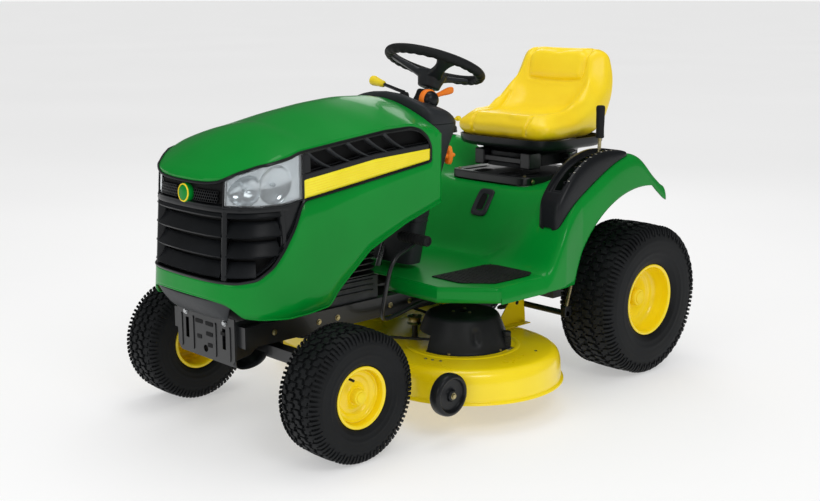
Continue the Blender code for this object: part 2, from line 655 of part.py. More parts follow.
def make_seat():
    outline = [(0.392, 0.790), (0.398, 0.835), (0.430, 0.855), (0.550, 0.846), (0.640, 0.856),
               (0.690, 0.905),
               (0.715, 1.000), (0.728, 1.060), (0.755, 1.078), (0.785, 1.060), (0.796, 1.000), (0.790,
                                                                                                0.880),
               (0.755, 0.800), (0.700, 0.7655), (0.430, 0.7655)]
    bevel(add_part("seat_cushion", extruded(outline, "yz", -0.228, 0.228), "yellow_vinyl", SEAT_PIVOT),
          0.020, 2)
    add_fused("seat_pan", "black_plastic", SEAT_PIVOT,
              boxes(((-0.200, 0.420, 0.745), (0.200, 0.730, 0.765))),
              across(1, 0.115, 0.145, 0.430, 0.480, 0.6556, 0.750), across(-1, 0.115, 0.145, 0.430, 0.480,
                                                                           0.6556, 0.750))
    slots = [[(side * 0.09 - 0.008, 0.500), (side * 0.09 + 0.008, 0.500), (side * 0.09 + 0.008, 0.590),
              (side * 0.09 - 0.008, 0.590)] for side in (-1, 1)]
    plate = [(-0.165, 0.352), (0.165, 0.352), (0.175, 0.365), (0.175, 0.700), (-0.175, 0.700),
             (-0.175, 0.365)]
    add_part("seat_plate", extruded(plate, "xy", 0.640, 0.655, slots), "black_plastic", SEAT_PIVOT)
    turns, per_turn, coil = 4, 9, 0.022
    route = []
    for side in (1, -1):
        for step in range(turns * per_turn + 1):
            share = step / (turns * per_turn) if side > 0 else 1 - step / (turns * per_turn)
            turn = 2 * pi * turns * share + pi / 2
            route.append((side * 0.120 + side * coil * cos(turn), 0.640 + coil * sin(turn),
                          0.7408 - 0.0816 * (1 - share)))
    add_part("seat_spring", tube(route, 0.0030, resolution=0), "steel", SEAT_PIVOT)


def make_tank():
    bevel(add_part("fuel_tank", boxes(((-0.140, 0.470, 0.400), (0.140, 0.680, 0.590))), "black_plastic"),
          0.015, 2)
    cap = [(0.004, 0.772), (0.028, 0.772), (0.031, 0.768), (0.033, 0.749), (0.004, 0.749)]
    add_turned("fuel_cap", cap, "black_plastic", (-0.390, 0.560, 0), steps=18)


# ---------------------------------------------------------------- mower deck

def deck_outline(inset):
    """Two arcs, one round each spindle, joined by straight edges."""
    points = []
    radius = DECK_RADIUS - inset
    for x, y, start, end in ((0.280, -0.040, -90, 90), (-0.280, 0.040, 90, 270)):
        for step in range(13):
            turn = radians(start + (end - start) * step / 12)
            points.append((x + radius * cos(turn), y + radius * sin(turn)))
    return points


def make_deck():
    levels = [(DECK_RIM_Z, 0.000), (0.150, 0.000), (0.172, 0.006), (DECK_TOP_Z, 0.030),
              (DECK_TOP_Z + 0.0001, 0.150)]
    rows = []
    for z, inset in levels:
        ring = [(x, y, z) for x, y in deck_outline(inset)]
        rows.append([*ring, ring[0]])
    rows.append([(x * 0.02, y * 0.02, DECK_TOP_Z + 0.0002) for x, y, _ in rows[-1]])
    rows.append([(0, 0, DECK_TOP_Z + 0.0002)] * len(rows[0]))
    deck = add_part("mower_deck", grid_mesh(rows), "yellow_paint", smooth=True)
    thicken(deck, 0.003)
    for x, y in SPINDLES.values():
        boolean(deck, rods(((x, y, 0.16), (x, y, 0.21), 0.022), segments=16))
    boolean(deck, boxes(((-0.640, -0.080, 0.094), (-0.520, 0.160, 0.166))))


def make_deck_parts():
    for side, (x, y) in SPINDLES.items():
        shaft = [(0.003, 0.231), (0.0125, 0.231), (0.0125, 0.224), (0.060, 0.221), (0.053, 0.216),
                 (0.053, 0.210),
                 (0.060, 0.205), (0.0125, 0.202), (0.0125, 0.1275), (0.003, 0.1275)]
        add_turned("spindle_" + side, shaft, "steel", (x, y, 0), steps=20)
        blade = extruded([(-BLADE_LENGTH / 2, -0.028), (BLADE_LENGTH / 2, -0.028),
                          (BLADE_LENGTH / 2, 0.028),
                          (-BLADE_LENGTH / 2, 0.028)], "xy", 0.1225, 0.1270)
        blade.transform(Matrix.Translation((x, y, 0)))
        add_part("blade_" + side, blade, "steel", (x, y, 0.125))
        cover = [(0.004, 0.288), (0.112, 0.288), (0.140, 0.262), (0.145, 0.2335), (0.004, 0.2335)]
        add_turned("spindle_cover_" + side, cover, "black_plastic", (x, y, 0), steps=24)
    for side, sign in (("left", 1), ("right", -1)):
        tread = [(0.006, 0.020), (0.052, 0.020), (0.060, 0.014), (0.0625, 0.006), (0.0625, -0.006),
                 (0.060, -0.014),
                 (0.052, -0.020), (0.006, -0.020)]
        add_turned("gauge_wheel_" + side, tread, "black_plastic", (sign * 0.495, -0.335, 0.142), "X", 20)
    outline = [(-0.586, 0.186), (-0.600, 0.196), (-0.700, 0.176), (-0.760, 0.140), (-0.760, 0.134),
               (-0.698, 0.170),
               (-0.600, 0.190), (-0.588, 0.180)]
    walls = [extruded([(-0.600, 0.150), (-0.600, 0.194), (-0.700, 0.175), (-0.758, 0.139),
                       (-0.758, 0.100)], "xz", y, y + 0.004)
             for y in (-0.092, 0.168)]
    add_fused("discharge_chute", "black_plastic", (-0.590, 0.040, 0.186),
              extruded(outline, "xz", -0.090, 0.170), *walls)


make_frame()
make_plates()
make_bumper_guard()
make_engine()
make_transaxle()
make_belts()
make_wheels()
make_front_axle()
make_steering()
make_dash()
make_controls()
make_pedals()
make_hood()
make_hood_inserts()
make_fender_deck()
make_lift_quadrant()
make_lift_lever()
make_seat()
make_tank()
make_deck()
make_deck_parts()
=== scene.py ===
from math import radians

import bmesh
import bpy
import numpy as np
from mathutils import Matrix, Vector, bvhtree


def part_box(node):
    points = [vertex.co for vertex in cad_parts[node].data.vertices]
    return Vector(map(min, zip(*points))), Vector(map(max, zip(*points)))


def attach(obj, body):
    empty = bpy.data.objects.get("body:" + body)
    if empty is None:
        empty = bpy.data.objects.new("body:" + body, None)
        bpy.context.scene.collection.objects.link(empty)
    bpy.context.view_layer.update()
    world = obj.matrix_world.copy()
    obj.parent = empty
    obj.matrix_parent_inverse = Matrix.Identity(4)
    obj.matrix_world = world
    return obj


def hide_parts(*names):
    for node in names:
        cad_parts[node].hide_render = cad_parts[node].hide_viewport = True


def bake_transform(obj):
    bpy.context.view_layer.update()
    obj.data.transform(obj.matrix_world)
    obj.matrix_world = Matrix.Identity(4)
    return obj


# Riding lawn mower. Lengths are metres, and places are in machine coordinates:
# x to the driver's left, y to the back, z up, zero on the ground halfway between the axles.
# putPiece moves every finished shape by home, which is where that zero lies in the frame.

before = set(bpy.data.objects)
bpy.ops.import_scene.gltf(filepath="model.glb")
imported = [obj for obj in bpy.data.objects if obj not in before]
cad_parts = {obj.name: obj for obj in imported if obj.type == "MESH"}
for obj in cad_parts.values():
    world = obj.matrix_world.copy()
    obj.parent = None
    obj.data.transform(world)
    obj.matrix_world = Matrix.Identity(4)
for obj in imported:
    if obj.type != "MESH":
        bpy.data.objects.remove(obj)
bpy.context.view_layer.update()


def middle(node):
    low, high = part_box(node)
    return (np.array(low) + np.array(high)) / 2


home = np.array([middle("front_axle")[0], (middle("front_tyre_left")[1] + middle("rear_tyre_left")[1]) / 2,
    0.0])
print("frame loaded, machine zero at", home.round(4))


def addToScene(thing):
    bpy.context.scene.collection.objects.link(thing)


def hexColor(code, alpha=1.0):
    # sRGB hex to the linear numbers that the shaders take
    value = np.array([int(code[i:i + 2], 16) / 255 for i in (1, 3, 5)])
    linear = np.where(value <= .04045, value / 12.92, ((value + .055) / 1.055) ** 2.4)
    return (*[float(c) for c in linear], alpha)


def addNode(tree, kind, settings=None, sockets=None):
    # a node with its settings, and each socket given either a value or another node's output
    node = tree.nodes.new("ShaderNode" + kind)
    for name, value in (settings or {}).items():
        setattr(node, name, value)
    for name, value in (sockets or {}).items():
        if isinstance(value, bpy.types.NodeSocket):
            tree.links.new(value, node.inputs[name])
        else:
            node.inputs[name].default_value = value
    return node


def startMaterial(name, sockets):
    # an empty Principled material and its object coordinates
    material = bpy.data.materials.new(name)
    material.use_nodes = True
    tree = material.node_tree
    surface = tree.nodes["Principled BSDF"]
    for key, value in sockets.items():
        surface.inputs[key].default_value = value
    place = addNode(tree, "TexCoord").outputs["Object"]
    return material, tree, surface, place


def mottle(tree, place, surface, look):
    # two near colours and two roughnesses that drift over the part in soft patches
    patch = addNode(tree, "TexNoise", {}, {"Vector": place, "Scale": 1 / look["patch"],
        "Detail": 4.0}).outputs["Fac"]
    ramp = addNode(tree, "ValToRGB", {}, {"Fac": patch})
    for end, at, tone in ((0, .35, "dark"), (1, .68, "light")):
        ramp.color_ramp.elements[end].position = at
        ramp.color_ramp.elements[end].color = hexColor(look[tone])
    tree.links.new(ramp.outputs["Color"], surface.inputs["Base Color"])
    gloss = addNode(tree, "MapRange", {}, {"Value": patch, "From Min": .3, "From Max": .7,
        "To Min": look["smooth"], "To Max": look["rough"]})
    tree.links.new(gloss.outputs["Result"], surface.inputs["Roughness"])
    return ramp.outputs["Color"], patch


def relief(tree, surface, *layers):
    # bumps laid over each other, each (height output, depth in metres)
    normal = None
    for height, depth in layers:
        sockets = {"Height": height, "Distance": depth, "Strength": 1.0}
        if normal is not None:
            sockets["Normal"] = normal
        normal = addNode(tree, "Bump", {}, sockets).outputs["Normal"]
    tree.links.new(normal, surface.inputs["Normal"])


def makePaint(name, look):
    # sprayed or powder coated enamel: wet gloss over a faint orange peel, a little dust in patches
    material, tree, surface, place = startMaterial(name, {"Coat Weight": look["coat"], "Coat Roughness": .03,
        "IOR": 1.5, "Specular IOR Level": look.get("level", .5)})
    mottle(tree, place, surface, look)
    peel = addNode(tree, "TexNoise", {}, {"Vector": place, "Scale": 1 / look["grain"],
        "Detail": 2.0}).outputs["Fac"]
    relief(tree, surface, (peel, look["depth"]))
    return material


def makeMoulded(name, look):
    # moulded plastic or rubber: spark-eroded grain on the tool, so light breaks up softly
    material, tree, surface, place = startMaterial(name, {"IOR": look.get("ior", 1.49),
        "Specular IOR Level": look.get("level", .3)})
    mottle(tree, place, surface, look)
    grain = addNode(tree, "TexVoronoi", {"feature": "SMOOTH_F1"},
        {"Vector": place, "Scale": 1 / look["grain"]})
    fine = addNode(tree, "TexNoise", {}, {"Vector": place, "Scale": 2.2 / look["grain"], "Detail": 3.0})
    relief(tree, surface, (grain.outputs["Distance"], look["depth"]),
        (fine.outputs["Fac"], look["depth"] * .6))
    return material


def makeMetal(name, look):
    # bare or plated metal: colour drifts with the plating, and fine marks break the shine
    material, tree, surface, place = startMaterial(name, {"Metallic": 1.0})
    mottle(tree, place, surface, look)
    marks = addNode(tree, "TexNoise", {}, {"Vector": place, "Scale": 1 / look["grain"], "Detail": 5.0,
        "Distortion": .4}).outputs["Fac"]
    relief(tree, surface, (marks, look["depth"]))
    return material


def finish(dark, light, patch, smooth, rough, grain, depth, **more):
    # two colours, the size of their patches, roughness from and to, size and depth of the grain
    return {"dark": dark, "light": light, "patch": patch, "smooth": smooth, "rough": rough, "grain": grain,
        "depth": depth, **more}


paint = {
    # injection moulded body panels in green gloss: deep even colour, sharp lights
    "greenPanel": makePaint("green gloss ABS", finish(
        "#007F29", "#008A2E", .35, .28, .36, .004, .000012, coat=.2, level=.12)),
    # pressed steel deck and wheel rims in yellow powder coat: bright, slightly wavy lights
    "yellowCoat": makePaint("yellow powder coated steel", finish(
        "#F6D606", "#FCE10C", .22, .24, .34, .003, .00004, coat=.4)),
    # frame, plates and rods in black powder coat: satin with a small orange peel
    "blackSteel": makePaint("black powder coated steel", finish(
        "#131517", "#1B1D1F", .12, .3, .42, .0025, .00006, coat=.15)),
}
plastics = {
    # polypropylene covers and dash: charcoal with a leathery tool grain about 1.2 mm wide
    "blackPlastic": ("black grained polypropylene", "#1C1E20", "#25272A", .18, .4, .52, .0012, .00012),
    # grille and window surround: smoother satin black ABS
    "fascia": ("black satin ABS", "#141618", "#1B1D20", .15, .28, .38, .002, .00004),
    # warm grey guard and dash shroud, as the sun leaves black plastic
    "greyPlastic": ("charcoal polypropylene", "#25282B", "#2E3134", .2, .42, .55, .0014, .00012),
    "orangePlastic": ("orange nylon", "#F07818", "#FA8A26", .05, .3, .4, .0012, .00004),
    "yellowPlastic": ("yellow nylon", "#F0D21C", "#F8DE2C", .05, .3, .4, .0012, .00004),
    # floor mats and grips: softer, duller rubber
    "softRubber": ("matt black rubber", "#121314", "#1A1C1D", .06, .62, .75, .0015, .0001),
    "beltRubber": ("belt rubber with fabric face", "#17181A", "#222324", .03, .65, .78, .001, .0001),
    # the yellow film on the hood side: printed vinyl, smoother than the panel's grain
    "yellowFilm": ("yellow vinyl film", "#F3E32C", "#F8EA3A", .1, .22, .28, .004, .00001),
    "fuelPoly": ("natural polyethylene", "#CFCBBC", "#DAD7CA", .08, .38, .5, .002, .00006),
    # near-black painted shade, set where openings look into the dark: behind the grille window and honeycomb,
    # in the fuel slot, and as the plate slots and hanger holes
    "paintedShade": ("painted shade black", "#08090A", "#0F1011", .1, .6, .8, .002, .0001),
}
moulded = {key: makeMoulded(name, finish(*look)) for key, (name, *look) in plastics.items()}
# tyre rubber: nearly black, dull on the tread, with a bloom of grey
moulded["tyre"] = makeMoulded("tyre rubber", finish("#111315", "#1A1C1E", .09, .52, .66, .0022, .00012,
    level=.2))
metals = {
    # bolts, springs and rods in yellow passivated zinc: pale brass with grey drift
    "zinc": ("yellow passivated zinc", "#A89A6E", "#CDC39B", .02, .25, .42, .0012, .00003),
    "brightSteel": ("zinc plated steel", "#A9ABAD", "#C9CBCC", .03, .22, .36, .001, .00002),
    # engine and gear cases: as-cast aluminium, dull and sandy
    "castAlloy": ("die cast aluminium", "#46484A", "#5C5E60", .05, .45, .62, .0015, .0002),
    "mirror": ("vacuum metallised reflector", "#E2E6E8", "#F0F2F3", .06, .1, .16, .004, 0.0),
}
metal = {key: makeMetal(name, finish(*look)) for key, (name, *look) in metals.items()}
# the reflector is a thin metal film over white plastic, so it also scatters light
metal["mirror"].node_tree.nodes["Principled BSDF"].inputs["Metallic"].default_value = .45


def makeLens():
    # clear polycarbonate: you see the reflector through it, under a hard bright gloss
    look = {"flute": .01, "depth": .00002}
    material, tree, surface, place = startMaterial("clear polycarbonate",
        {"Transmission Weight": 1.0, "IOR": 1.2, "Base Color": hexColor("#F4F8FA"), "Coat Weight": .6})
    mist = addNode(tree, "TexNoise", {}, {"Vector": place, "Scale": 1 / look["flute"]}).outputs["Fac"]
    haze = addNode(tree, "MapRange", {}, {"Value": mist, "To Min": .01, "To Max": .03})
    tree.links.new(haze.outputs["Result"], surface.inputs["Roughness"])
    relief(tree, surface, (mist, look["depth"]))
    return material


def makeVinyl():
    # calendered seat vinyl: embossed pebble grain about 1.4 mm, its tone drifting in soft patches
    look = {"dark": "#F6D204", "light": "#FDDD0E", "patch": .16, "smooth": .3, "rough": .4}
    material, tree, surface, place = startMaterial("yellow seat vinyl",
        {"IOR": 1.5, "Sheen Weight": .06, "Sheen Roughness": .4})
    mottle(tree, place, surface, look)
    pebble = addNode(tree, "TexVoronoi", {"feature": "DISTANCE_TO_EDGE"},
        {"Vector": place, "Scale": 1 / .0022})
    wave = addNode(tree, "TexNoise", {}, {"Vector": place, "Scale": 1 / .05, "Detail": 2.0}).outputs["Fac"]
    relief(tree, surface, (wave, .0012), (pebble.outputs["Distance"], .00012))
    return material


finishes = {**paint, **moulded, **metal, "lensClear": makeLens(), "seatVinyl": makeVinyl()}
# the finishes that usually fill each slot; the first of them also dresses the solids that no piece replaces
slotFinishes = {
    "hood_paint": ["greenPanel"], "yellow_paint": ["yellowCoat"], "seat_vinyl": ["seatVinyl"],
    "black_plastic": ["blackPlastic", "fascia", "greyPlastic"], "black_steel": ["blackSteel", "paintedShade"],
    "orange_plastic": ["orangePlastic"], "yellow_plastic": ["yellowPlastic", "yellowFilm"],
    "tyre_rubber": ["tyre", "beltRubber"], "mat_rubber": ["softRubber"], "bright_steel": ["brightSteel",
        "zinc"],
    "cast_metal": ["castAlloy"], "lens": ["lensClear", "mirror", "fuelPoly"],
}
print("materials made")


def unit(value):
    # held between 0 and 1
    return np.clip(value, 0, 1)


def atHeight(outline, z):
    # points of (x, y) with a height
    return np.insert(outline, 2, z, axis=1)


def follow(x, table):
    # the height at x on a line through the table's points
    xs, ys = zip(*table)
    return np.interp(x, xs, ys)


def eased(x, table, reach=.02):
    # the same line averaged over a short stretch, which rounds its corners
    steps = np.linspace(-reach, reach, 9)
    return np.mean([follow(np.asarray(x) + step, table) for step in steps], axis=0)


def blendRows(count, samples, reach=.5):
    # weights that turn a few section points into many along a rounded line: hats averaged over reach
    at = np.linspace(0, count - 1, samples)
    steps = np.linspace(-reach, reach, 9)
    spots = np.clip(at[:, None] + steps * np.minimum(1, np.minimum(at, count - 1 - at))[:, None], 0,
        count - 1)
    return np.maximum(0, 1 - np.abs(spots[:, :, None] - np.arange(count))).mean(1)


def roundedLine(points, samples, reach=.5):
    # a smooth line that stays close to its points
    points = np.array(points, float)
    return blendRows(len(points), samples, reach) @ points


def evenLine(points, samples, closed=False):
    # the same line with its points at equal steps of length
    points = np.array(points, float)
    if closed:
        points = np.vstack([points, points[:1]])
    length = np.concatenate([[0], np.cumsum(np.linalg.norm(np.diff(points, axis=0), axis=1))])
    at = np.linspace(0, length[-1], samples + 1)[:-1] if closed else np.linspace(0, length[-1], samples)
    return np.stack([np.interp(at, length, points[:, k]) for k in range(points.shape[1])], axis=1)


def gridShape(points, closeU=False, closeV=False, caps=False, keep=None):
    # points[u, v] joined into quads; caps closes the two ends across v with flat faces
    rows, columns = points.shape[:2]
    u = np.arange(rows if closeU else rows - 1)[:, None]
    v = np.arange(columns if closeV else columns - 1)[None, :]
    quad = np.stack([u * columns + v, (u + 1) % rows * columns + v,
        (u + 1) % rows * columns + (v + 1) % columns, u * columns + (v + 1) % columns], axis=-1)
    faces = (quad if keep is None else quad[keep]).reshape(-1, 4).tolist()
    if caps:
        faces += [list(range(columns)), list(range((rows - 1) * columns, rows * columns))]
    return points.reshape(-1, 3), faces


def together(*shapes):
    # several shapes as one list of points and faces
    starts = np.cumsum([0] + [len(points) for points, faces in shapes])
    faces = [[int(corner + start) for corner in face] for (points, faces), start in zip(shapes, starts)
        for face in faces]
    return np.vstack([points for points, faces in shapes]), faces


def mirrored(shape, axis=0):
    # the same shape on the other side
    points, faces = shape
    flipped = points.copy()
    flipped[:, axis] *= -1
    return flipped, [list(reversed(face)) for face in faces]


def bothSides(shapes):
    return shapes + [mirrored(shape) for shape in shapes]


def moved(shape, offset=(0, 0, 0), turn=None, centre=(0, 0, 0)):
    # turned by a 3x3 matrix about a centre, then moved
    points, faces = shape
    if turn is not None:
        points = (points - np.array(centre)) @ np.array(turn).T + np.array(centre)
    return points + np.array(offset), faces


def turnAbout(axis, degrees):
    # rotation matrix about X, Y or Z
    c, s = np.cos(np.radians(degrees)), np.sin(np.radians(degrees))
    return {"X": [[1, 0, 0], [0, c, -s], [0, s, c]], "Y": [[c, 0, s], [0, 1, 0], [-s, 0, c]],
        "Z": [[c, -s, 0], [s, c, 0], [0, 0, 1]]}[axis]


def fullTurn(count):
    # that many angles round a circle
    return np.linspace(0, 2 * np.pi, count, endpoint=False)


def turned(profile, centre, axis="Z", steps=48, closed=False):
    # a profile of (radius, height) swept round an axis through centre; ends at radius 0 close the poles
    profile = np.array(profile, float)
    angle = fullTurn(steps)
    r, h = profile[None, :, 0], profile[None, :, 1]
    a, b, c = r * np.cos(angle)[:, None], r * np.sin(angle)[:, None], h + 0 * angle[:, None]
    points = {"Z": np.stack([a, b, c], -1), "X": np.stack([c, a, b], -1), "Y": np.stack([b, c, a], -1)}[axis]
    return gridShape(points + np.array(centre), closeU=True, closeV=closed)


def alongPath(path, profile, up=(0, 0, 1), closed=False, scale=None, caps=True):
    # a flat closed profile of (sideways, upward) offsets carried along a path, upright to up
    path, profile = np.array(path, float), np.array(profile, float)
    if closed:
        ahead = np.roll(path, -1, axis=0) - np.roll(path, 1, axis=0)
    else:
        ahead = np.gradient(path, axis=0)
    ahead /= np.linalg.norm(ahead, axis=1, keepdims=True)
    side = np.cross(ahead, np.array(up, float))
    side /= np.linalg.norm(side, axis=1, keepdims=True)
    over = np.cross(side, ahead)
    size = np.ones(len(path)) if scale is None else np.asarray(scale, float)
    spread = profile[None] * size[:, None, None]
    points = path[:, None] + side[:, None] * spread[..., :1] + over[:, None] * spread[..., 1:]
    return gridShape(points, closeU=closed, closeV=True, caps=caps and not closed)


def ring(width, height=None, count=12, power=2.0):
    # a rounded outline: circle at power 2, squarer above it
    angle = fullTurn(count)
    c, s = np.cos(angle), np.sin(angle)
    return np.stack([width * np.sign(c) * np.abs(c) ** (2 / power),
        (height or width) * np.sign(s) * np.abs(s) ** (2 / power)], axis=1)


def rod(points, radius, samples=40, sides=12, up=(0, 0, 1), reach=.45):
    # a bent rod: the rounded line through its points with a circle carried along
    return alongPath(evenLine(roundedLine(points, samples * 3, reach), samples), ring(radius, count=sides),
        up)


def prism(outline, low, high, axis="Z"):
    # a flat outline given thickness; outline is (x, y) for Z, (y, z) for X, (x, z) for Y
    outline = np.array(outline, float)
    ends = [np.insert(outline, "XYZ".index(axis), level, axis=1) for level in (low, high)]
    return gridShape(np.array(ends), closeV=True, caps=True)


def block(low, high):
    # a plain box, to be bevelled or joined to others
    (x0, y0, z0), (x1, y1, z1) = low, high
    return prism([(x0, y0), (x1, y0), (x1, y1), (x0, y1)], z0, z1)


def boltHead(centre, across, height, axis="Z"):
    # hexagon head with a chamfer, standing on its washer
    r = across / np.sqrt(3)
    head = turned([(0, height), (r * .86, height), (r, height * .72), (r, 0)], centre, axis, 6)
    plate = turned([(r * .8, height * .25), (r * 1.25, height * .22), (r * 1.25, 0), (0, 0)], centre, axis,
        20)
    return together(head, plate)


def putPiece(name, shape, coating, body, smooth=40, recalc=True, bevelWidth=0, thick=0):
    # a shape, or a list of shapes, as one object that rides on a body, with rounded edges or a wall if asked
    points, faces = together(*shape) if isinstance(shape, list) else shape
    mesh = bpy.data.meshes.new(name)
    mesh.from_pydata((np.asarray(points) + home).tolist(), [], faces)
    work = bmesh.new()
    work.from_mesh(mesh)
    bmesh.ops.remove_doubles(work, verts=work.verts, dist=.00002)
    bmesh.ops.dissolve_degenerate(work, edges=work.edges, dist=.00001)
    if recalc:
        bmesh.ops.recalc_face_normals(work, faces=work.faces)
    work.to_mesh(mesh)
    work.free()
    mesh.validate()
    piece = bpy.data.objects.new(name, mesh)
    addToScene(piece)
    mesh.materials.append(finishes[coating])
    if thick:
        wall = piece.modifiers.new("Wall", "SOLIDIFY")
        wall.thickness, wall.offset = thick, -1
    if bevelWidth:
        edge = piece.modifiers.new("Edge", "BEVEL")
        edge.width, edge.segments, edge.limit_method = bevelWidth, 2, "ANGLE"
        edge.angle_limit = radians(35)
    mesh.shade_smooth()
    mesh.set_sharp_from_angle(angle=radians(smooth))
    if body:
        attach(piece, body)
    return piece

view = {"place": (2.783, -2.672, 1.245), "tilt": 78.145, "heading": 46.3, "lens": 53.1}
camera = bpy.data.objects.new("Camera", bpy.data.cameras.new("Camera"))
camera.location = np.array(view["place"]) + home
camera.rotation_euler = (radians(view["tilt"]), 0, radians(view["heading"]))
camera.data.lens, camera.data.sensor_width, camera.data.clip_start = view["lens"], 36, .01
addToScene(camera)
bpy.context.scene.camera = camera

studio = {
    "key": {"place": (3.2, -1.4, 3.4), "size": 1.6, "power": 34},
    "front": {"place": (.6, -4.2, 2.2), "size": 1.5, "power": 13},
    "top": {"place": (-.4, .2, 4.2), "size": 2.0, "power": 26},
    "back": {"place": (-2.8, 3.2, 2.4), "size": 1.8, "power": 15},
    "surround": {"seen": .905, "soft": .78, "gloss": .1},
}
for label in ("key", "front", "top", "back"):
    lamp = studio[label]
    light = bpy.data.lights.new(label, "AREA")
    light.shape, light.size, light.energy = "DISK", lamp["size"], lamp["power"]
    holder = bpy.data.objects.new(label, light)
    holder.location = np.array(lamp["place"]) + home
    aim = np.array(lamp["place"]) - np.array((0, 0, .45))
    holder.rotation_euler = (np.arccos(aim[2] / np.linalg.norm(aim)), 0, np.arctan2(aim[0], -aim[1]))
    addToScene(holder)
world = bpy.data.worlds.new("Studio")
world.use_nodes = True
# a white cove: full brightness to the eye, softer as light, and dimmer still in reflections
ray = addNode(world.node_tree, "LightPath")
surround = studio["surround"]
soft = addNode(world.node_tree, "MapRange", {}, {"Value": ray.outputs["Is Glossy Ray"],
    "To Min": surround["soft"], "To Max": surround["gloss"]})
seen = addNode(world.node_tree, "MapRange", {}, {"Value": ray.outputs["Is Camera Ray"],
    "To Min": soft.outputs["Result"], "To Max": surround["seen"]})
world.node_tree.links.new(seen.outputs["Result"], world.node_tree.nodes["Background"].inputs["Strength"])
world.node_tree.nodes["Background"].inputs["Color"].default_value = hexColor("#FFFFFF")
bpy.context.scene.world = world
bpy.context.scene.view_settings.view_transform = "Standard"

floorMesh = bpy.data.meshes.new("floor")
floorMesh.from_pydata([(-300, -300, 0), (300, -300, 0), (300, 300, 0), (-300, 300, 0)], [], [(0, 1, 2, 3)])
floor = bpy.data.objects.new("floor", floorMesh)
addToScene(floor)
floorPaint = makePaint("matt studio floor", finish("#C6C6C6", "#C8C8C8", 3.0, .7, .8, .05, 0.0, coat=0.0))
floorMesh.materials.append(floorPaint)
cove = floorPaint.node_tree.nodes["Principled BSDF"]  # lit from below, as a light table is
cove.inputs["Emission Color"].default_value, cove.inputs["Emission Strength"].default_value = (1, 1, 1, 1), .4

hood = {
    "plan": [(0, -.885), (.07, -.884), (.135, -.878), (.18, -.86), (.214, -.828), (.236, -.785),
        (.248, -.725), (.255, -.65), (.259, -.56), (.262, -.46), (.264, -.36), (.266, -.26), (.268, -.19),
        (.268, -.14)],
    "foot": [(-.885, .447), (-.86, .436), (-.828, .4), (-.785, .391), (-.705, .383), (-.635, .387),
        (-.568, .397), (-.533, .44), (-.49, .477), (-.419, .536), (-.281, .597), (-.135, .645)],
    "shoulder": [(-.885, .772), (-.828, .792), (-.75, .818), (-.66, .843), (-.52, .864), (-.36, .883),
        (-.26, .886), (-.17, .862), (-.14, .85)],
    "spine": [(-.62, .897), (-.5, .926), (-.4, .942), (-.3, .952), (-.2, .95), (-.14, .94)],
    "windowFoot": [(-.885, .497), (-.842, .495), (-.796, .503), (-.75, .535), (-.716, .578), (-.68, .636),
        (-.66, .69), (-.65, .706), (-.178, .772)],
    "windowHead": [(-.885, .753), (-.88, .753), (-.872, .768), (-.85, .789), (-.8, .806), (-.74, .816),
        (-.69, .825), (-.666, .836), (-.519, .854), (-.363, .872), (-.263, .876), (-.222, .866),
        (-.185, .834), (-.177, .79)],
    "windowEnd": -.178, "reach": .26, "wall": .003, "columns": 120,
}
planLine = evenLine(roundedLine(hood["plan"], 400, .8), 600)
planLength = np.concatenate([[0], np.cumsum(np.linalg.norm(np.diff(planLine, axis=0), axis=1))])
planTotal = planLength[-1]


def planAt(s):
    # the hood's outline seen from above, at a signed length s from the middle of its nose
    far = np.abs(s)
    return np.interp(far, planLength, planLine[:, 0]) * np.sign(s), np.interp(far, planLength, planLine[:, 1])


def planReach(y):
    # the length round the outline at which it reaches y
    return np.interp(y, planLine[:, 1], planLength)


def hoodSkin(s, h, inset=0.0):
    # Wall up to the shoulder, with the nose leaning back; above it a crown that starts steep and
    # flattens to the spine: height = shoulder + rise * (1 - reach ** 1.6). h is the height on the
    # wall, and the distance travelled inwards on the crown. inset moves the point inwards.
    x, y = planAt(s)
    lean = .074 * unit((-.7 - y) / .15)
    shoulder = eased(y, hood["shoulder"])
    z = np.minimum(h, shoulder)
    side = np.minimum(1, np.abs(x) / .2)
    px = x - np.sign(x) * inset * side
    py = y + inset * unit((-.74 - y) / .1) + lean * (z - .447)
    reach = unit(1 - np.maximum(h - shoulder, 0) / hood["reach"])
    spineY = np.maximum(-.62, py)
    spineZ = eased(spineY, hood["spine"])
    z = z + (spineZ - shoulder - inset) * (1 - reach ** 1.6)
    return np.stack([px * reach, spineY + (py - spineY) * reach, z], axis=-1)


def skinHeight(y, z):
    # the h at which the skin stands at height z, above the shoulder as well
    shoulder = eased(y, hood["shoulder"])
    rise = unit((z - shoulder) / (eased(np.maximum(-.62, y), hood["spine"]) - shoulder))
    return np.where(z > shoulder, shoulder + hood["reach"] * (1 - (1 - rise) ** (1 / 1.6)), z)


def windowLow(y):
    return eased(y, hood["windowFoot"], .006)


def windowHigh(y):
    return skinHeight(y, eased(y, hood["windowHead"], .012))


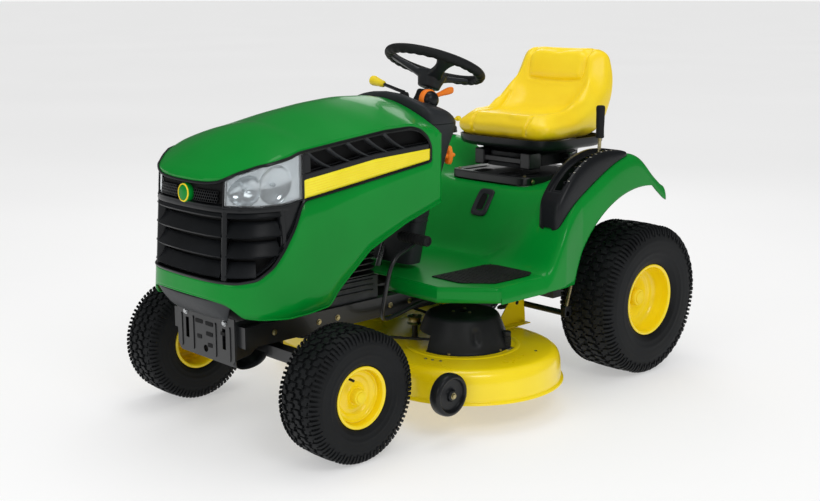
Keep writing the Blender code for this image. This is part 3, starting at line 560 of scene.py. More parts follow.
def makeHood():
    # one sheet in rows: foot to window, window, window to shoulder, and the crown to the spine
    endS = planReach(hood["windowEnd"])
    half = np.concatenate([np.linspace(0, endS, hood["columns"]), np.linspace(endS, planTotal, 7)[1:]])
    s = np.concatenate([-half[:0:-1], half])
    y = planAt(s)[1]
    foot, low, high = eased(y, hood["foot"], .008), windowLow(y), windowHigh(y)
    low, high = np.maximum(low, foot + .012), np.maximum(high, low + .004)
    top = eased(y, hood["shoulder"]) + hood["reach"]
    rows = [foot + (low - foot) * t for t in np.linspace(0, 1, 7)]
    rows += [low + (high - low) * t for t in np.linspace(0, 1, 15)[1:]]
    rows += [high + (top - high) * t for t in 1 - np.linspace(1, 0, 26)[1:] ** 1.15]
    h = np.array(rows).T
    points = hoodSkin(s[:, None], h)
    inWindow = (np.abs(s[:-1]) < endS - 1e-6) & (np.abs(s[1:]) < endS + 1e-6)
    row = np.arange(h.shape[1] - 1)
    keep = ~(inWindow[:, None] & (row >= 6)[None, :] & (row < 20)[None, :])
    shell = putPiece("hoodSkin", gridShape(points, keep=keep), "greenPanel", "hood", smooth=32,
        thick=hood["wall"])
    # a turned edge along the foot, as the panel's rolled return
    path = hoodSkin(s, foot + .002, inset=.0025)
    putPiece("hoodEdge", alongPath(path, ring(.0032, count=8)), "greenPanel", "hood")
    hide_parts("hood_shell")


def skinStrip(fromS, toS, lowH, highH, inset, columns=60, rows=8):
    # a patch of the skin between two heights, each a function of y along the outline
    s = np.linspace(fromS, toS, columns)
    y = planAt(s)[1]
    low, high = lowH(y), highH(y)
    h = low + (high - low) * np.linspace(0, 1, rows)[:, None]
    depth = inset(y[None], h) if callable(inset) else inset
    return gridShape(hoodSkin(s[None] + 0 * h, h, depth))


def blade(s, foot, profile):
    # a louvre: profile of (inset, height above foot) carried along the outline at height foot(y)
    y = planAt(s)[1]
    profile = np.array(profile)
    base = foot(y) if callable(foot) else foot + 0 * y
    points = hoodSkin(s[:, None], base[:, None] + profile[None, :, 1], profile[None, :, 0])
    return gridShape(points, closeV=True, caps=True)


def frameStrip():
    # the raised black edge all round the window: a rounded bar along its outline
    endS = planReach(hood["windowEnd"] - .004)
    s = np.linspace(-endS, endS, 260)
    y = planAt(s)[1]
    lower, upper = hoodSkin(s, windowLow(y), .0005), hoodSkin(s, windowHigh(y), .0005)
    sides = []
    for end in (0, -1):
        t = np.linspace(0, 1, 14)[1:-1]
        sides.append(hoodSkin(s[end] + 0 * t, windowLow(y[end]) + (windowHigh(y[end]) - windowLow(y[end]))
            * t, .0005))
    loop = np.vstack([lower, sides[1], upper[::-1], sides[0][::-1]])
    path = evenLine(loop, 420, closed=True)
    away = path - np.array([0, -.42, .66])
    away /= np.linalg.norm(away, axis=1, keepdims=True)
    ahead = np.roll(path, -1, axis=0) - np.roll(path, 1, axis=0)
    ahead /= np.linalg.norm(ahead, axis=1, keepdims=True)
    cross = np.cross(ahead, away)
    cross /= np.linalg.norm(cross, axis=1, keepdims=True)
    bar = ring(.0042, .0032, 8, 3)
    points = path[:, None] + cross[:, None] * bar[None, :, :1] + away[:, None] * bar[None, :, 1:]
    return gridShape(points, closeU=True, closeV=True)


def makeGrille():
    cornerS, dividerS = planReach(-.866), planReach(-.722)
    # a near-black sheet 3 cm behind the window, with near-black reveals along its edges: painted shade for
    # the dark inside of the hood
    sheet = skinStrip(-planReach(-.18), planReach(-.18), lambda y: windowLow(y) - .004,
        lambda y: windowHigh(y) + .004, .03, 220, 10)
    endS = planReach(-.18)
    reveals = [blade(np.linspace(-endS, endS, 200), lambda y, edge=edge, step=step: edge(y) + step,
        [(.0045, -.002), (.0045, .002), (.03, .002), (.03, -.002)])
        for edge, step in ((windowLow, -.0025), (windowHigh, .0025))]
    putPiece("grillePaintedShade", together(sheet, *reveals), "paintedShade", "hood")
    louvre = [(0.0, 0.0), (.0035, -.0045), (.008, -.004), (.009, .001), (.022, .026), (.027, .034),
        (.0225, .036), (.017, .029), (.004, .006)]
    # four bowed louvres over the nose, and short ones between the corner bar and the divider
    front = np.linspace(-cornerS + .008, cornerS - .008, 90)
    sideSpan = np.linspace(cornerS + .008, dividerS - .003, 24)
    bows = []
    for z in (.512, .566, .62, .673):
        bows.append(blade(front, z, louvre))
        short = sideSpan if z > .56 else np.linspace(cornerS + .008, planReach(-.8), 14)
        for side in (1, -1):
            bows.append(blade(side * short, z, louvre))
    bars = putPiece("grilleLouvres", bows, "fascia", "hood", smooth=35)
    # upright corner bars, rounded, from the foot of the window to the band
    uprights = []
    for side in (1, -1):
        for near, wide, top in ((cornerS, .011, 1), (dividerS, .008, 0)):
            y = planAt(np.array([near]))[1]
            low, high = windowLow(y)[0], (.694 if top else .7)
            t = np.linspace(0, 1, 24)
            heights = low + (high - low) * t
            leanS = near + (.004 if top else .012) * (1 - t)
            across = np.linspace(-1, 1, 9)
            depth = .001 + .006 * across ** 4 + .018 * (np.abs(across) > .99)
            points = hoodSkin(side * (leanS[:, None] + wide * across[None]), heights[:, None] + 0 * across,
                depth[None])
            uprights.append(gridShape(points))
    putPiece("grilleUprights", uprights, "fascia", "hood", thick=.0025)
    # flat band over the louvres with a raised lower lip, carried round to the lamps
    bandEnd = planReach(-.7)
    s = np.linspace(-bandEnd, bandEnd, 150)
    band = [(.03, -.01), (.002, -.008), (.0004, -.004), (.0012, .002), (.0012, .008), (.014, .012),
        (.03, .012)]
    lip = blade(s, .692, band)
    # panel behind the divider, with its curved rim
    flat = skinStrip(dividerS - .002, planReach(-.658), windowLow,
        lambda y: np.maximum(windowLow(y) + .004, .702), .006, 30, 8)
    rim = blade(np.linspace(planReach(-.8), planReach(-.672), 40), lambda y: windowLow(y) + .013,
        [(0.0, .004), (.0035, -.003), (.012, -.003), (.012, .004)])
    parts = [lip, flat, mirrored(flat), rim, mirrored(rim)]
    putPiece("grilleBand", parts, "fascia", "hood")
    # honeycomb strips on both sides of the badge: rings of six walls, 9 mm across
    cells = []
    corner = np.radians(np.arange(6) * 60 + 30)
    for side in (1, -1):
        for row in range(4):
            for column in range(11):
                centreS = .044 + .0088 * (column + .5 * (row % 2))
                centreZ = .7105 + .0078 * row
                if centreZ + .004 > .748:
                    continue
                outer, inner = .0051, .004
                ringS = centreS + np.cos(corner)[:, None] * np.array([outer, inner, inner, outer])[None]
                ringZ = centreZ + np.sin(corner)[:, None] * np.array([outer, inner, inner, outer])[None]
                depth = np.array([.004, .004, .012, .012])[None]
                cells.append(gridShape(hoodSkin(side * ringS, ringZ, depth + 0 * ringS), closeU=True,
                    closeV=True))
    putPiece("grilleHoneycomb", cells, "fascia", "hood")
    # near-black plate behind the honeycomb: painted shade seen through its cells
    plate = skinStrip(-planReach(-.868), planReach(-.868), lambda y: .704 + 0 * y,
        lambda y: windowHigh(y) - .001, .012, 70, 8)
    putPiece("grilleCellBack", plate, "paintedShade", "hood")
    # plain round badge on a dished boss
    badge = [(0, .0095), (.012, .0092), (.0205, .0075), (.0215, .006), (.0235, .0062), (.0262, .0048),
        (.0275, 0), (.0275, -.012), (0, -.012)]
    nose = hoodSkin(np.array([0.0]), np.array([.722]), .004)[0]
    disc = moved(turned([(r, -h) for r, h in badge], nose, "Y", 56), turn=turnAbout("X", -4), centre=nose)
    putPiece("noseBadge", disc, "greenPanel", "hood", smooth=30)
    rimRing = turned([(.0215, -.0072), (.0218, -.0085), (.0232, -.0088), (.0248, -.008), (.0255, -.0062),
        (.0235, -.005)], nose, "Y", 56, closed=True)
    putPiece("noseBadgeRim", moved(rimRing, turn=turnAbout("X", -4), centre=nose), "yellowPlastic", "hood")
    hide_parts("grille")


def makeLamps():
    # lens flush with the skin, two reflector bowls behind it, and a bright bridge between them
    lamp = {"nose": .158, "rear": -.65, "foot": .697}
    fromS, toS = np.interp(lamp["nose"], planLine[:380, 0], planLength[:380]), planReach(lamp["rear"])
    footLine = lambda y: np.maximum(windowLow(y) + .002, lamp["foot"] + .012 * unit((y + .72) / .07))
    headLine = lambda y: windowHigh(y) - .003
    for side, label in ((1, "Left"), (-1, "Right")):
        s = np.linspace(fromS, toS, 90)
        y = planAt(s)[1]
        t = np.linspace(0, 1, 44)[:, None]
        h = footLine(y) + (headLine(y) - footLine(y)) * t
        across = np.linspace(0, 1, 90)[None]
        crown = .0015 - .0025 * np.sin(np.pi * across) * np.sin(np.pi * t)
        lens = putPiece("lens" + label, gridShape(hoodSkin(side * s[None] + 0 * h, h, crown)), "lensClear",
            "hood", thick=.0022)
        bowls = [(.24, .46, .2, .4), (.64, .5, .23, .44)]
        depth = .007 + .004 * across + 0 * h
        for middleU, middleV, halfU, halfV in bowls:
            r2 = ((across - middleU) / halfU) ** 2 + ((t - middleV) / halfV) ** 2
            depth = np.maximum(depth, .008 + .02 * np.sqrt(unit(1 - r2)))
        putPiece("reflector" + label, gridShape(hoodSkin(side * s[None] + 0 * h, h, depth)), "mirror", "hood",
            smooth=50)
        bulbs = []
        for middleU, middleV, halfU, halfV in bowls:
            spotS = fromS + (toS - fromS) * middleU
            spotY = planAt(np.array([spotS]))[1]
            spotH = footLine(spotY) + (headLine(spotY) - footLine(spotY)) * middleV
            centre = hoodSkin(np.array([side * spotS]), spotH, .016)[0]
            bulbs.append(turned([(0, .006), (.004, .005), (.006, .001), (.0065, -.004), (.005, -.009),
                (0, -.01)], centre, "X", 16))
        putPiece("bulbs" + label, bulbs, "lensClear", "hood")
        # dark fence round the lamp
        edgeS = np.concatenate([s, s[::-1]])
        loopH = np.concatenate([footLine(y), headLine(y)[::-1]])
        rimPath = evenLine(hoodSkin(side * edgeS, loopH, .0025), 150, closed=True)
        fence = alongPath(rimPath, ring(.0028, count=8), (side, -.5, .2), closed=True)
        putPiece("lampRim" + label, fence, "fascia", "hood")
        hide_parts("headlight_" + label.lower())


def makeSideVents():
    # yellow film along the foot of the window, a black rail over it, and five curved ribs across the openings
    vent = {"start": -.648, "end": -.186, "film": .055, "rail": .016}
    footLine = lambda y: windowLow(y) + .0045
    filmTop = lambda y: windowLow(y) + vent["film"] - .018 * unit((y + .4) / .22)
    railTop = lambda y: filmTop(y) + vent["rail"]
    for side, label in ((1, "Left"), (-1, "Right")):
        ends = side * planReach(vent["start"]), side * planReach(vent["end"])
        film = skinStrip(ends[0], ends[1], footLine, filmTop, .001, 90, 6)
        putPiece("filmStripe" + label, film, "yellowFilm", "hood", thick=.0012)
        lines = []
        s = np.linspace(ends[0] + side * .004, ends[1] - side * .004, 80)
        y = planAt(s)[1]
        for share in (.24, .38, .52, .66, .8):
            h = footLine(y) + (filmTop(y) - footLine(y)) * share
            thin = np.array([(.0004, -.0006), (.0004, .0006), (.0014, .0006), (.0014, -.0006)])
            lines.append(gridShape(hoodSkin(s[:, None], h[:, None] + thin[None, :, 1], thin[None, :, 0]),
                closeV=True, caps=True))
        putPiece("filmLines" + label, lines, "yellowPlastic", "hood")
        rail = skinStrip(ends[0], ends[1], filmTop, railTop, .0012, 90, 6)
        backRail = skinStrip(ends[0], ends[1], railTop, lambda y: railTop(y) + .004, .012, 90, 3)
        head = skinStrip(ends[0], ends[1], lambda y: windowHigh(y) - .008, lambda y: windowHigh(y) - .001,
            .0014, 90, 4)
        nosePost = skinStrip(side * planReach(vent["start"]), side * planReach(vent["start"] + .022), railTop,
            lambda y: windowHigh(y) - .004, .0016, 8, 10)
        surround = putPiece("ventSurround" + label, together(rail, backRail, head, nosePost), "fascia",
            "hood", thick=.0024)
        ribs = []
        for spot in (-.59, -.522, -.454, -.386, -.318):
            # each rib leans forward as it rises, bowed like a fan blade
            t = np.linspace(0, 1, 22)
            y = spot + .03 * (1 - t ** 2) * -1 + .03
            top, low = windowHigh(y - .02) - .004, railTop(y) - .002
            h = low + (top - low) * (1 - t)
            ribS = planReach(y - .05 * (1 - t))
            profile = np.array([(.0075, .0035), (.0068, .001), (0.0, .0006), (-.0062, .004), (-.007, .015),
                (-.002, .0165), (.0065, .016)])
            points = hoodSkin(side * (ribS[:, None] + profile[None, :, 0]),
                h[:, None] + 0 * profile[None, :, 0], profile[None, :, 1] + 0 * h[:, None])
            ribs.append(gridShape(points, closeV=True, caps=True))
        putPiece("ventRibs" + label, ribs, "greyPlastic", "hood", smooth=45)
        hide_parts("side_vent_" + label.lower())


makeHood()
putPiece("windowFrame", frameStrip(), "fascia", "hood")
makeGrille()
makeLamps()
makeSideVents()
print("hood made")

wheels = {
    "front": {"track": .385, "y": -.62, "radius": .187, "width": .152, "flange": .088, "dish": .03,
        "bore": .01, "blocks": 42, "cap": .0225, "capOut": .064},
    "rear": {"track": .41, "y": .62, "radius": .253, "width": .21, "flange": .12, "dish": .022, "bore": .0125,
        "blocks": 50, "cap": .03, "capOut": .052},
}


def tyreOutline(size):
    # section of the carcass from the outer bead over the crown to the inner bead: (radius, across)
    half, wide, lip = .43 * size["width"] - .006, size["width"] / 2, size["flange"] + .0006
    tall, crown = size["radius"] - lip, size["radius"] - .0075
    side = [(lip - .009, half), (lip, half), (lip + .001, half + .006), (lip + .1 * tall, wide * .925),
        (lip + .22 * tall, wide * .962), (lip + .4 * tall, wide * .985), (lip + .55 * tall, wide * .99),
        (lip + .72 * tall, wide * .968), (lip + .84 * tall, wide * .915), (crown - .006, wide * .83),
        (crown - .0015, wide * .66), (crown, wide * .45)]
    return side + [(r, -a) for r, a in reversed(side)]


def tyreShape(size):
    # the carcass turned round the axle, with four fine rings moulded on each sidewall
    outline = roundedLine(tyreOutline(size), 110, .7)
    lip, tall = size["flange"], size["radius"] - size["flange"]
    r, a = outline[:, 0], outline[:, 1]
    for share in (.16, .3, .33, .6):
        bump = np.exp(-((r - lip - share * tall) / .0016) ** 2) * (np.abs(a) > .36 * size["width"])
        a = a + np.sign(a) * bump * .0012
    inner = [(lip - .0082, .4 * size["width"] - .006), (lip - .0082, -.4 * size["width"] + .006)]
    return np.vstack([np.stack([r, a], 1), inner[::-1]])


def treadBlocks(size):
    # Rows of hooked blocks round the crown: each block is a hooked outline drawn in (along, across), laid on
    # the crown at radius(across), and given a foot sunk into the carcass.
    wide, radius = size["width"] / 2, size["radius"]
    count = size["blocks"]
    pitch = 2 * np.pi / count
    hook = np.array([(-.45, -.44), (-.02, -.47), (.06, -.2), (.43, -.14), (.45, .4), (.06, .47), (-.04, .2),
        (-.43, .14)])
    shapes = []
    rowWidth = wide * .4

    def crown(across):
        return radius - .0004 - .011 * (np.abs(across) / wide / .86) ** 4

    def layBlock(outline, along, across, length, breadth, foot):
        u, v = outline[:, 0] * length, outline[:, 1] * breadth + across
        rise = crown(v)
        rings = []
        for sink, shrink in ((foot, 1.0), (.0012, 1.0), (0.0, .86)):
            uu = u.mean() + (u - u.mean()) * shrink
            vv = v.mean() + (v - v.mean()) * shrink
            rr = rise - sink
            angle = along + uu
            rings.append(np.stack([vv, rr * np.cos(angle), rr * np.sin(angle)], 1))
        return gridShape(np.array(rings), closeV=True, caps=True)

    for row in (-1.5, -.5, .5, 1.5):
        for k in range(count):
            start = (k + .5 * ((row + .5) % 2)) * pitch
            sign = 1 if (row + .5) % 2 else -1
            shapes.append(layBlock(hook * (sign, 1), start, row * rowWidth, pitch * .92, rowWidth * .96,
                .009))
    # shoulder bars, longer ones between shorter ones, running down on to the sidewall
    for side in (1, -1):
        for k in range(count * 2):
            start = k * pitch / 2
            reach = (.17 if k % 2 else .11) * (radius - size["flange"])
            t = np.linspace(0, 1, 5)
            across = side * (wide * (.8 + .17 * np.sin(t * np.pi / 2)))
            rad = radius - .0045 - .004 * t - (reach + .006) * (1 - np.cos(t * np.pi / 2))
            halfWidth = pitch * .155
            section = np.array([(-1, -.004), (-.8, .0022), (.8, .0022), (1, -.004)])
            angle = start + section[None, :, 0] * halfWidth
            out = section[None, :, 1] * np.ones((5, 1))
            rr = rad[:, None] + out * np.cos(t * np.pi / 2)[:, None]
            ax = across[:, None] + side * out * np.sin(t * np.pi / 2)[:, None]
            ax = side * np.minimum(np.abs(ax), wide - .0003)
            shapes.append(gridShape(np.stack([ax, rr * np.cos(angle), rr * np.sin(angle)], -1), closeV=True,
                caps=True))
    return together(*shapes)


def rimShape(size):
    # stamped rim: hub, curved dish with two stepped rings, barrel, and a rolled flange on both sides
    half, flange = .43 * size["width"], size["flange"]
    barrel = flange - .0105
    well = barrel - .003
    outside = [(size["bore"], .04), (.024, .04), (.026, .037), (.027, size["dish"] + .004),
        (.032, size["dish"]), (well * .55, size["dish"] - .004), (well * .7, size["dish"] - .002),
        (well * .76, size["dish"] + .004), (well * .9, size["dish"] + .007),
        (well * .96, size["dish"] + .016), (well, half * .62), (well + .002, half * .7),
        (well + .002, half - .004), (well + .006, half - .001), (flange - .003, half - .0002),
        (flange, half - .0018), (flange - .001, half - .0045), (barrel + .001, half - .0055),
        (barrel, half - .01)]
    inside = [(barrel, .01 - half), (barrel + .001, .0055 - half), (flange - .001, .0045 - half),
        (flange, .0018 - half), (flange - .003, .0002 - half), (well + .004, .001 - half),
        (well, .008 - half), (well - .001, size["dish"] - .01), (well * .76, size["dish"] - .004),
        (well * .55, size["dish"] - .01), (.03, size["dish"] - .01), (.026, -.036), (.024, -.04),
        (size["bore"], -.04)]
    front = roundedLine(outside[1:], 80, .35)
    back = roundedLine(inside[:-1], 50, .35)
    return np.vstack([[outside[0]], front, back, [inside[-1]]])


for axle, size in wheels.items():
    for side, label in ((1, "left"), (-1, "right")):
        body = f"{axle}_wheel_{label}"
        centre = (side * size["track"], size["y"], size["radius"])
        tyre = turned(tyreShape(size), centre, "X", 96, closed=True)
        tread = moved(treadBlocks(size), offset=centre)
        if side < 0:
            tyre = moved(mirrored(moved(tyre, (-centre[0], 0, 0))), (centre[0], 0, 0))
        carcass = putPiece(f"{axle}TyreCarcass_{label}", tyre, "tyre", body, smooth=50)
        putPiece(f"{axle}TyreTread_{label}", tread, "tyre", body, smooth=30)
        rim = turned(rimShape(size), (0, 0, 0), "X", 84, closed=True)
        cap = turned([(0, size["capOut"]), (size["cap"] * .55, size["capOut"]),
            (size["cap"] * .66, size["capOut"] - .001), (size["cap"] * .7, size["capOut"] - .004),
            (size["cap"] * .9, size["capOut"] - .005), (size["cap"] * .98, size["capOut"] - .009),
            (size["cap"], .038), (0, .038)], (0, 0, 0), "X", 48)
        stem = rod([(size["dish"] + .004, size["flange"] * .74, 0),
            (size["dish"] + .02, size["flange"] * .72, 0), (size["dish"] + .034, size["flange"] * .7, 0)],
            .0038, 10, 10, up=(0, 1, .3))
        shapes = []
        for shape in (rim, cap, stem):
            shape = moved(shape, turn=turnAbout("X", 118 if axle == "front" else 205))
            shapes.append(moved(mirrored(shape) if side < 0 else shape, centre))
        rimPiece = putPiece(f"{axle}RimDish_{label}", shapes[0], "yellowCoat", body, smooth=38)
        putPiece(f"{axle}HubCap_{label}", shapes[1], "yellowPlastic", body, smooth=35)
        putPiece(f"{axle}Valve_{label}", shapes[2], "softRubber", body)
        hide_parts(f"{axle}_tyre_{label}")
        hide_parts(f"{axle}_rim_{label}")
print("wheels made")

fender = {
    "centre": [(-.225, .41), (.19, .41), (.24, .5), (.3, .6), (.33, .622), (.7, .622), (.72, .6),
        (.745, .54)],
    "top": [(-.225, .41), (.125, .41), (.16, .47), (.2, .54), (.24, .585), (.28, .618), (.33, .648),
        (.38, .676), (.44, .708), (.5, .733), (.56, .746), (.6, .736), (.64, .706), (.68, .668), (.72, .64),
        (.745, .62)],
    "sheet": .004, "slot": (.386, .414, .25, .478), "stations": 190,
}


def fenderTop(y):
    return eased(y, fender["top"], .022)


def fenderLip(y, top):
    arch = .253 + np.sqrt(np.clip(.38 ** 2 - (y - .62) ** 2, 0, None))
    return np.minimum(np.maximum(.36, arch), top - .052)


def fenderGrid():
    # section lines across, one per station: flat floor, rise to the wing, rounded edge, lip
    y = np.unique(np.concatenate([np.linspace(-.225, .745, fender["stations"]), fender["slot"][2:]]))
    centre, top = eased(y, fender["centre"], .018), fenderTop(y)
    lip = fenderLip(y, top)
    edge = .478 - .018 * unit((y - .2) / .1)
    zero = 0 * y
    controls = np.array([(zero, centre), (.1 + zero, centre), (.16 + zero, centre * .96 + top * .04),
        (.205 + zero, .78 * centre + .22 * top), (.29 + zero, .22 * centre + .78 * top),
        (.335 + zero, .03 * centre + .97 * top), (.3859 + zero, top), (.4141 + zero, top),
        (edge - .024, top - .001), (edge - .008, top - .01), (edge - .001, top - .034),
        (edge, (lip + top - .034) / 2), (edge, lip)])
    weights = blendRows(len(controls), 76, .55)
    sideways = np.einsum("sk,kct->tsc", weights, controls)
    x, z = sideways[..., 0], sideways[..., 1]
    front = -.226 + .95 * np.clip(x - .34, 0, None)
    yy = np.where(y[:, None] <= 0, front * y[:, None] / -.225, y[:, None] + 0 * x)
    grid = np.stack([x, yy, z], -1)
    return np.concatenate([grid[:, :0:-1] * (-1, 1, 1), grid], axis=1)


def makeFender():
    grid = fenderGrid()
    mid = (grid[:-1, :-1] + grid[1:, 1:]) / 2
    x0, x1, y0, y1 = fender["slot"]
    hole = (mid[..., 0] > x0 - .003) & (mid[..., 0] < x1 + .003) & (mid[..., 1] > y0) & (mid[..., 1] < y1)
    sheet = putPiece("fenderSkin", gridShape(grid, keep=~hole), "greenPanel", "chassis", smooth=50)
    wall = sheet.modifiers.new("Wall", "SOLIDIFY")
    wall.thickness, wall.offset = fender["sheet"], -1
    if sheet.data.polygons[len(sheet.data.polygons) // 2].normal.z < 0:
        sheet.data.flip_normals()
    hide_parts("fender_deck")
    # turned down front edge of the footrests
    lips = []
    for side in (1, -1):
        x = np.concatenate([np.linspace(.13, .34, 12), np.linspace(.345, .476, 12)])
        y = -.226 + .95 * np.clip(x - .34, 0, None)
        path = np.stack([side * x, y, .4085 + 0 * x], -1)
        drop = np.array([(0, 0), (0, -.014), (0, -.03), (0, -.046)])
        points = path[:, None] + np.stack([0 * drop[:, 0], 0 * drop[:, 0], drop[:, 1]], -1)[None]
        lips.append(gridShape(points))
    putPiece("fenderFrontLip", lips, "greenPanel", "chassis", thick=.003, recalc=False)


def makeMats():
    # diamond tread mats: a thin pad with rows of small raised lozenges
    for side, label in ((1, "left"), (-1, "right")):
        outline = np.array([(.238, -.148), (.356, -.148), (.432, -.074), (.432, .08), (.41, .112),
            (.262, .112), (.238, .09)])
        pad = prism(evenLine(outline, 60, closed=True) * (side, 1), .4103, .4135)
        lozenges = []
        for row in range(17):
            for column in range(12):
                x, y = .25 + column * .0152 + .0076 * (row % 2), -.138 + row * .015
                if x > .424 or y > .104 or y < x - .506:
                    continue
                base = np.array([(-.0058, 0), (0, -.003), (.0058, 0), (0, .003)])
                turn = np.radians(40 if row % 2 else -40)
                spin = np.array([[np.cos(turn), -np.sin(turn)], [np.sin(turn), np.cos(turn)]])
                low, high = base @ spin.T + (x, y), base * .55 @ spin.T + (x, y)
                rings = np.array([atHeight(low * (side, 1), .4133), atHeight(high * (side, 1), .4149)])
                lozenges.append(gridShape(rings, closeV=True, caps=True))
        mat = putPiece(f"matPad_{label}", together(pad, *lozenges), "softRubber", "chassis", smooth=30)
        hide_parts(f"footrest_mat_{label}")


quadrant = {
    "top": [(.198, .54), (.1985, .585), (.203, .612), (.214, .632), (.24, .665), (.27, .697), (.31, .727),
        (.36, .75), (.425, .765), (.49, .762), (.53, .757), (.546, .75), (.551, .738)],
    "near": .3535, "far": .446, "slot": (.386, .414, .242, .486), "well": (.374, .426, .228, .498),
}


def makeQuadrant():
    # bridge over the slot: each section is a rounded box from the fender up to the top line, with a sunk
    # well round the slot; the top line bends down at both ends to close it
    line = evenLine(roundedLine(quadrant["top"], 300, .5), 120)
    y, top = line[:, 0], line[:, 1]
    base = np.minimum(fenderTop(y) - .001, top - .0008)
    mid, half = (quadrant["near"] + quadrant["far"]) / 2, (quadrant["far"] - quadrant["near"]) / 2
    section = roundedLine([(-1, 0), (-.99, .5), (-.96, .84), (-.88, .97), (-.72, 1), (-.5, 1), (-.25, 1),
        (0, 1), (.25, 1), (.46, 1), (.66, .985), (.82, .93), (.93, .8), (.985, .5), (1, 0)], 75, .45)
    along = (y - y[0]) / (y[-1] - y[0])
    half = half * np.clip(1 - np.abs(2 * along - 1) ** 18, .02, 1) ** .25
    x = mid + half[:, None] * section[None, :, 0]
    z = base[:, None] + (top - base)[:, None] * section[None, :, 1]
    nearX, farX, fromY, toY = quadrant["well"]
    inWell = unit(np.minimum(np.minimum(x - nearX, farX - x) / .0025,
        np.minimum(y - fromY, toY - y)[:, None] / .005))
    z = z - .013 * inWell
    points = np.stack([x, y[:, None] + 0 * z, z], -1)
    middle = (points[:-1, :-1] + points[1:, 1:]) / 2
    x0, x1, y0, y1 = quadrant["slot"]
    hole = (middle[..., 0] > x0) & (middle[..., 0] < x1) & (middle[..., 1] > y0) & (middle[..., 1] < y1)
    cover = putPiece("liftCover", gridShape(points, keep=~hole), "fascia", "chassis", smooth=42, thick=.0022)
    # height notches along the inner wall of the well, and pale tally marks beside it
    notches, marks = [], []
    for spot in np.linspace(.258, .47, 9):
        level = float(np.interp(spot, y, top))
        notches.append(block((.414, spot - .005, level - .0125), (.42, spot + .005, level - .003)))
        marks.append(moved(prism(ring(.0042, .0011, 10), -.0004, .0006), (.431, spot, level - .0008)))
    putPiece("liftNotches", notches, "fascia", "chassis", bevelWidth=.0008)
    putPiece("liftMarks", marks, "fuelPoly", "chassis")
    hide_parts("lift_quadrant")


def makeFuelWindow():
    # black bezel with a raised rounded rim on the riser, and a near-black pane behind its slot, painted shade
    # where the slot looks into the tank
    centre = np.array([.048, .281, .568])
    outline = ring(.035, .05, 60, 5)
    profile = [(1.0, -.004), (1.0, .003), (.93, .0052), (.8, .0052), (.74, .0034), (.66, .003), (.62, -.003),
        (.6, -.01)]
    rings = np.array([atHeight(outline * share * ((1, 1) if share > .7 else (.72, .96)), height)
        for share, height in profile])
    lean = np.array(turnAbout("X", 55.6))
    putPiece("fuelBezel", moved(moved(gridShape(rings, closeV=True), turn=lean), centre), "greyPlastic",
        "chassis")
    pane = (atHeight(outline * .6 * (.66, .95), .0037), [list(range(60))])
    putPiece("fuelPane", moved(moved(pane, turn=lean), centre), "paintedShade", "chassis")


makeFender()
makeMats()
makeQuadrant()
makeFuelWindow()
print("fender deck made")

seat = {
    "outline": [(.394, .822), (.41, .843), (.446, .854), (.55, .846), (.628, .852), (.676, .885), (.704, .96),
        (.718, 1.04), (.735, 1.072), (.757, 1.08), (.78, 1.068), (.793, 1.03), (.795, .96), (.788, .885),
        (.762, .812), (.72, .774), (.64, .77), (.52, .77), (.43, .77), (.4, .778), (.391, .8)],
    "halfWidth": .228, "voxel": .006, "pressure": 4.0, "cap": .009, "frames": 20,
}


def bucketShape(shrink):
    # The side outline swept across the seat. Towards the sides the outline closes on its own middle line as a
    # superellipse, the seat is dished where the rider sits, and the back narrows to rounded shoulders.
    outline = evenLine(roundedLine(seat["outline"] + seat["outline"][:1], 160, .6)[:-1], 130, closed=True)
    spine = np.array([(.43, .812), (.56, .808), (.66, .822), (.715, .86), (.745, .95), (.757, 1.04)])
    spineLine = evenLine(roundedLine(spine, 120, .8), 120)
    nearest = spineLine[np.argmin(((outline[:, None] - spineLine[None]) ** 2).sum(-1), axis=1)]
    across = np.sin(np.linspace(-np.pi / 2, np.pi / 2, 61))
    close = (1 - np.abs(across) ** 5) ** .42
    y = nearest[None, :, 0] + (outline - nearest)[None, :, 0] * close[:, None]
    z = nearest[None, :, 1] + (outline - nearest)[None, :, 1] * close[:, None]
    taper = 1 - .21 * unit((z - .9) / .18) ** 1.8 - .11 * unit((.47 - y) / .08) ** 2
    x = (seat["halfWidth"] - shrink) * across[:, None] * taper
    top = unit((outline[:, 1] - nearest[:, 1]) / .02)[None]
    dish = (1 - (across[:, None] / .74) ** 2).clip(0, 1) ** .7
    seatArea = np.exp(-((y - .535) / .1) ** 4)
    z = z - .012 * dish * top * seatArea
    front = unit((nearest[:, 0] - outline[:, 0]) / .02)[None] * unit((z - .88) / .05)
    y = y + .01 * dish * front
    # a raised bolster down both sides of the cushion and back
    bolster = np.exp(-((np.abs(across[:, None]) - .8) / .12) ** 2)
    z = z + .007 * bolster * top * unit((y - .42) / .06) * unit((.66 - y) / .05)
    y = y - .008 * bolster * front
    # the sides sweep up from cushion to back in one wide curve
    wing = unit((np.abs(across[:, None]) - .4) / .35) ** 2
    corner = wing * np.exp(-((y - .64) / .075) ** 2 - ((z - .885) / .065) ** 2)
    y, z = y - .036 * corner, z + .03 * corner
    # the pillow on the back stands proud, and its upper end runs out over the top
    pillow = (unit((.122 - np.abs(x)) / .012) * unit((z - .958) / .012)
        * unit((nearest[None, :, 0] - y) / .015))
    y = y - .011 * pillow
    return gridShape(np.stack([x, y, z], -1), closeV=True)


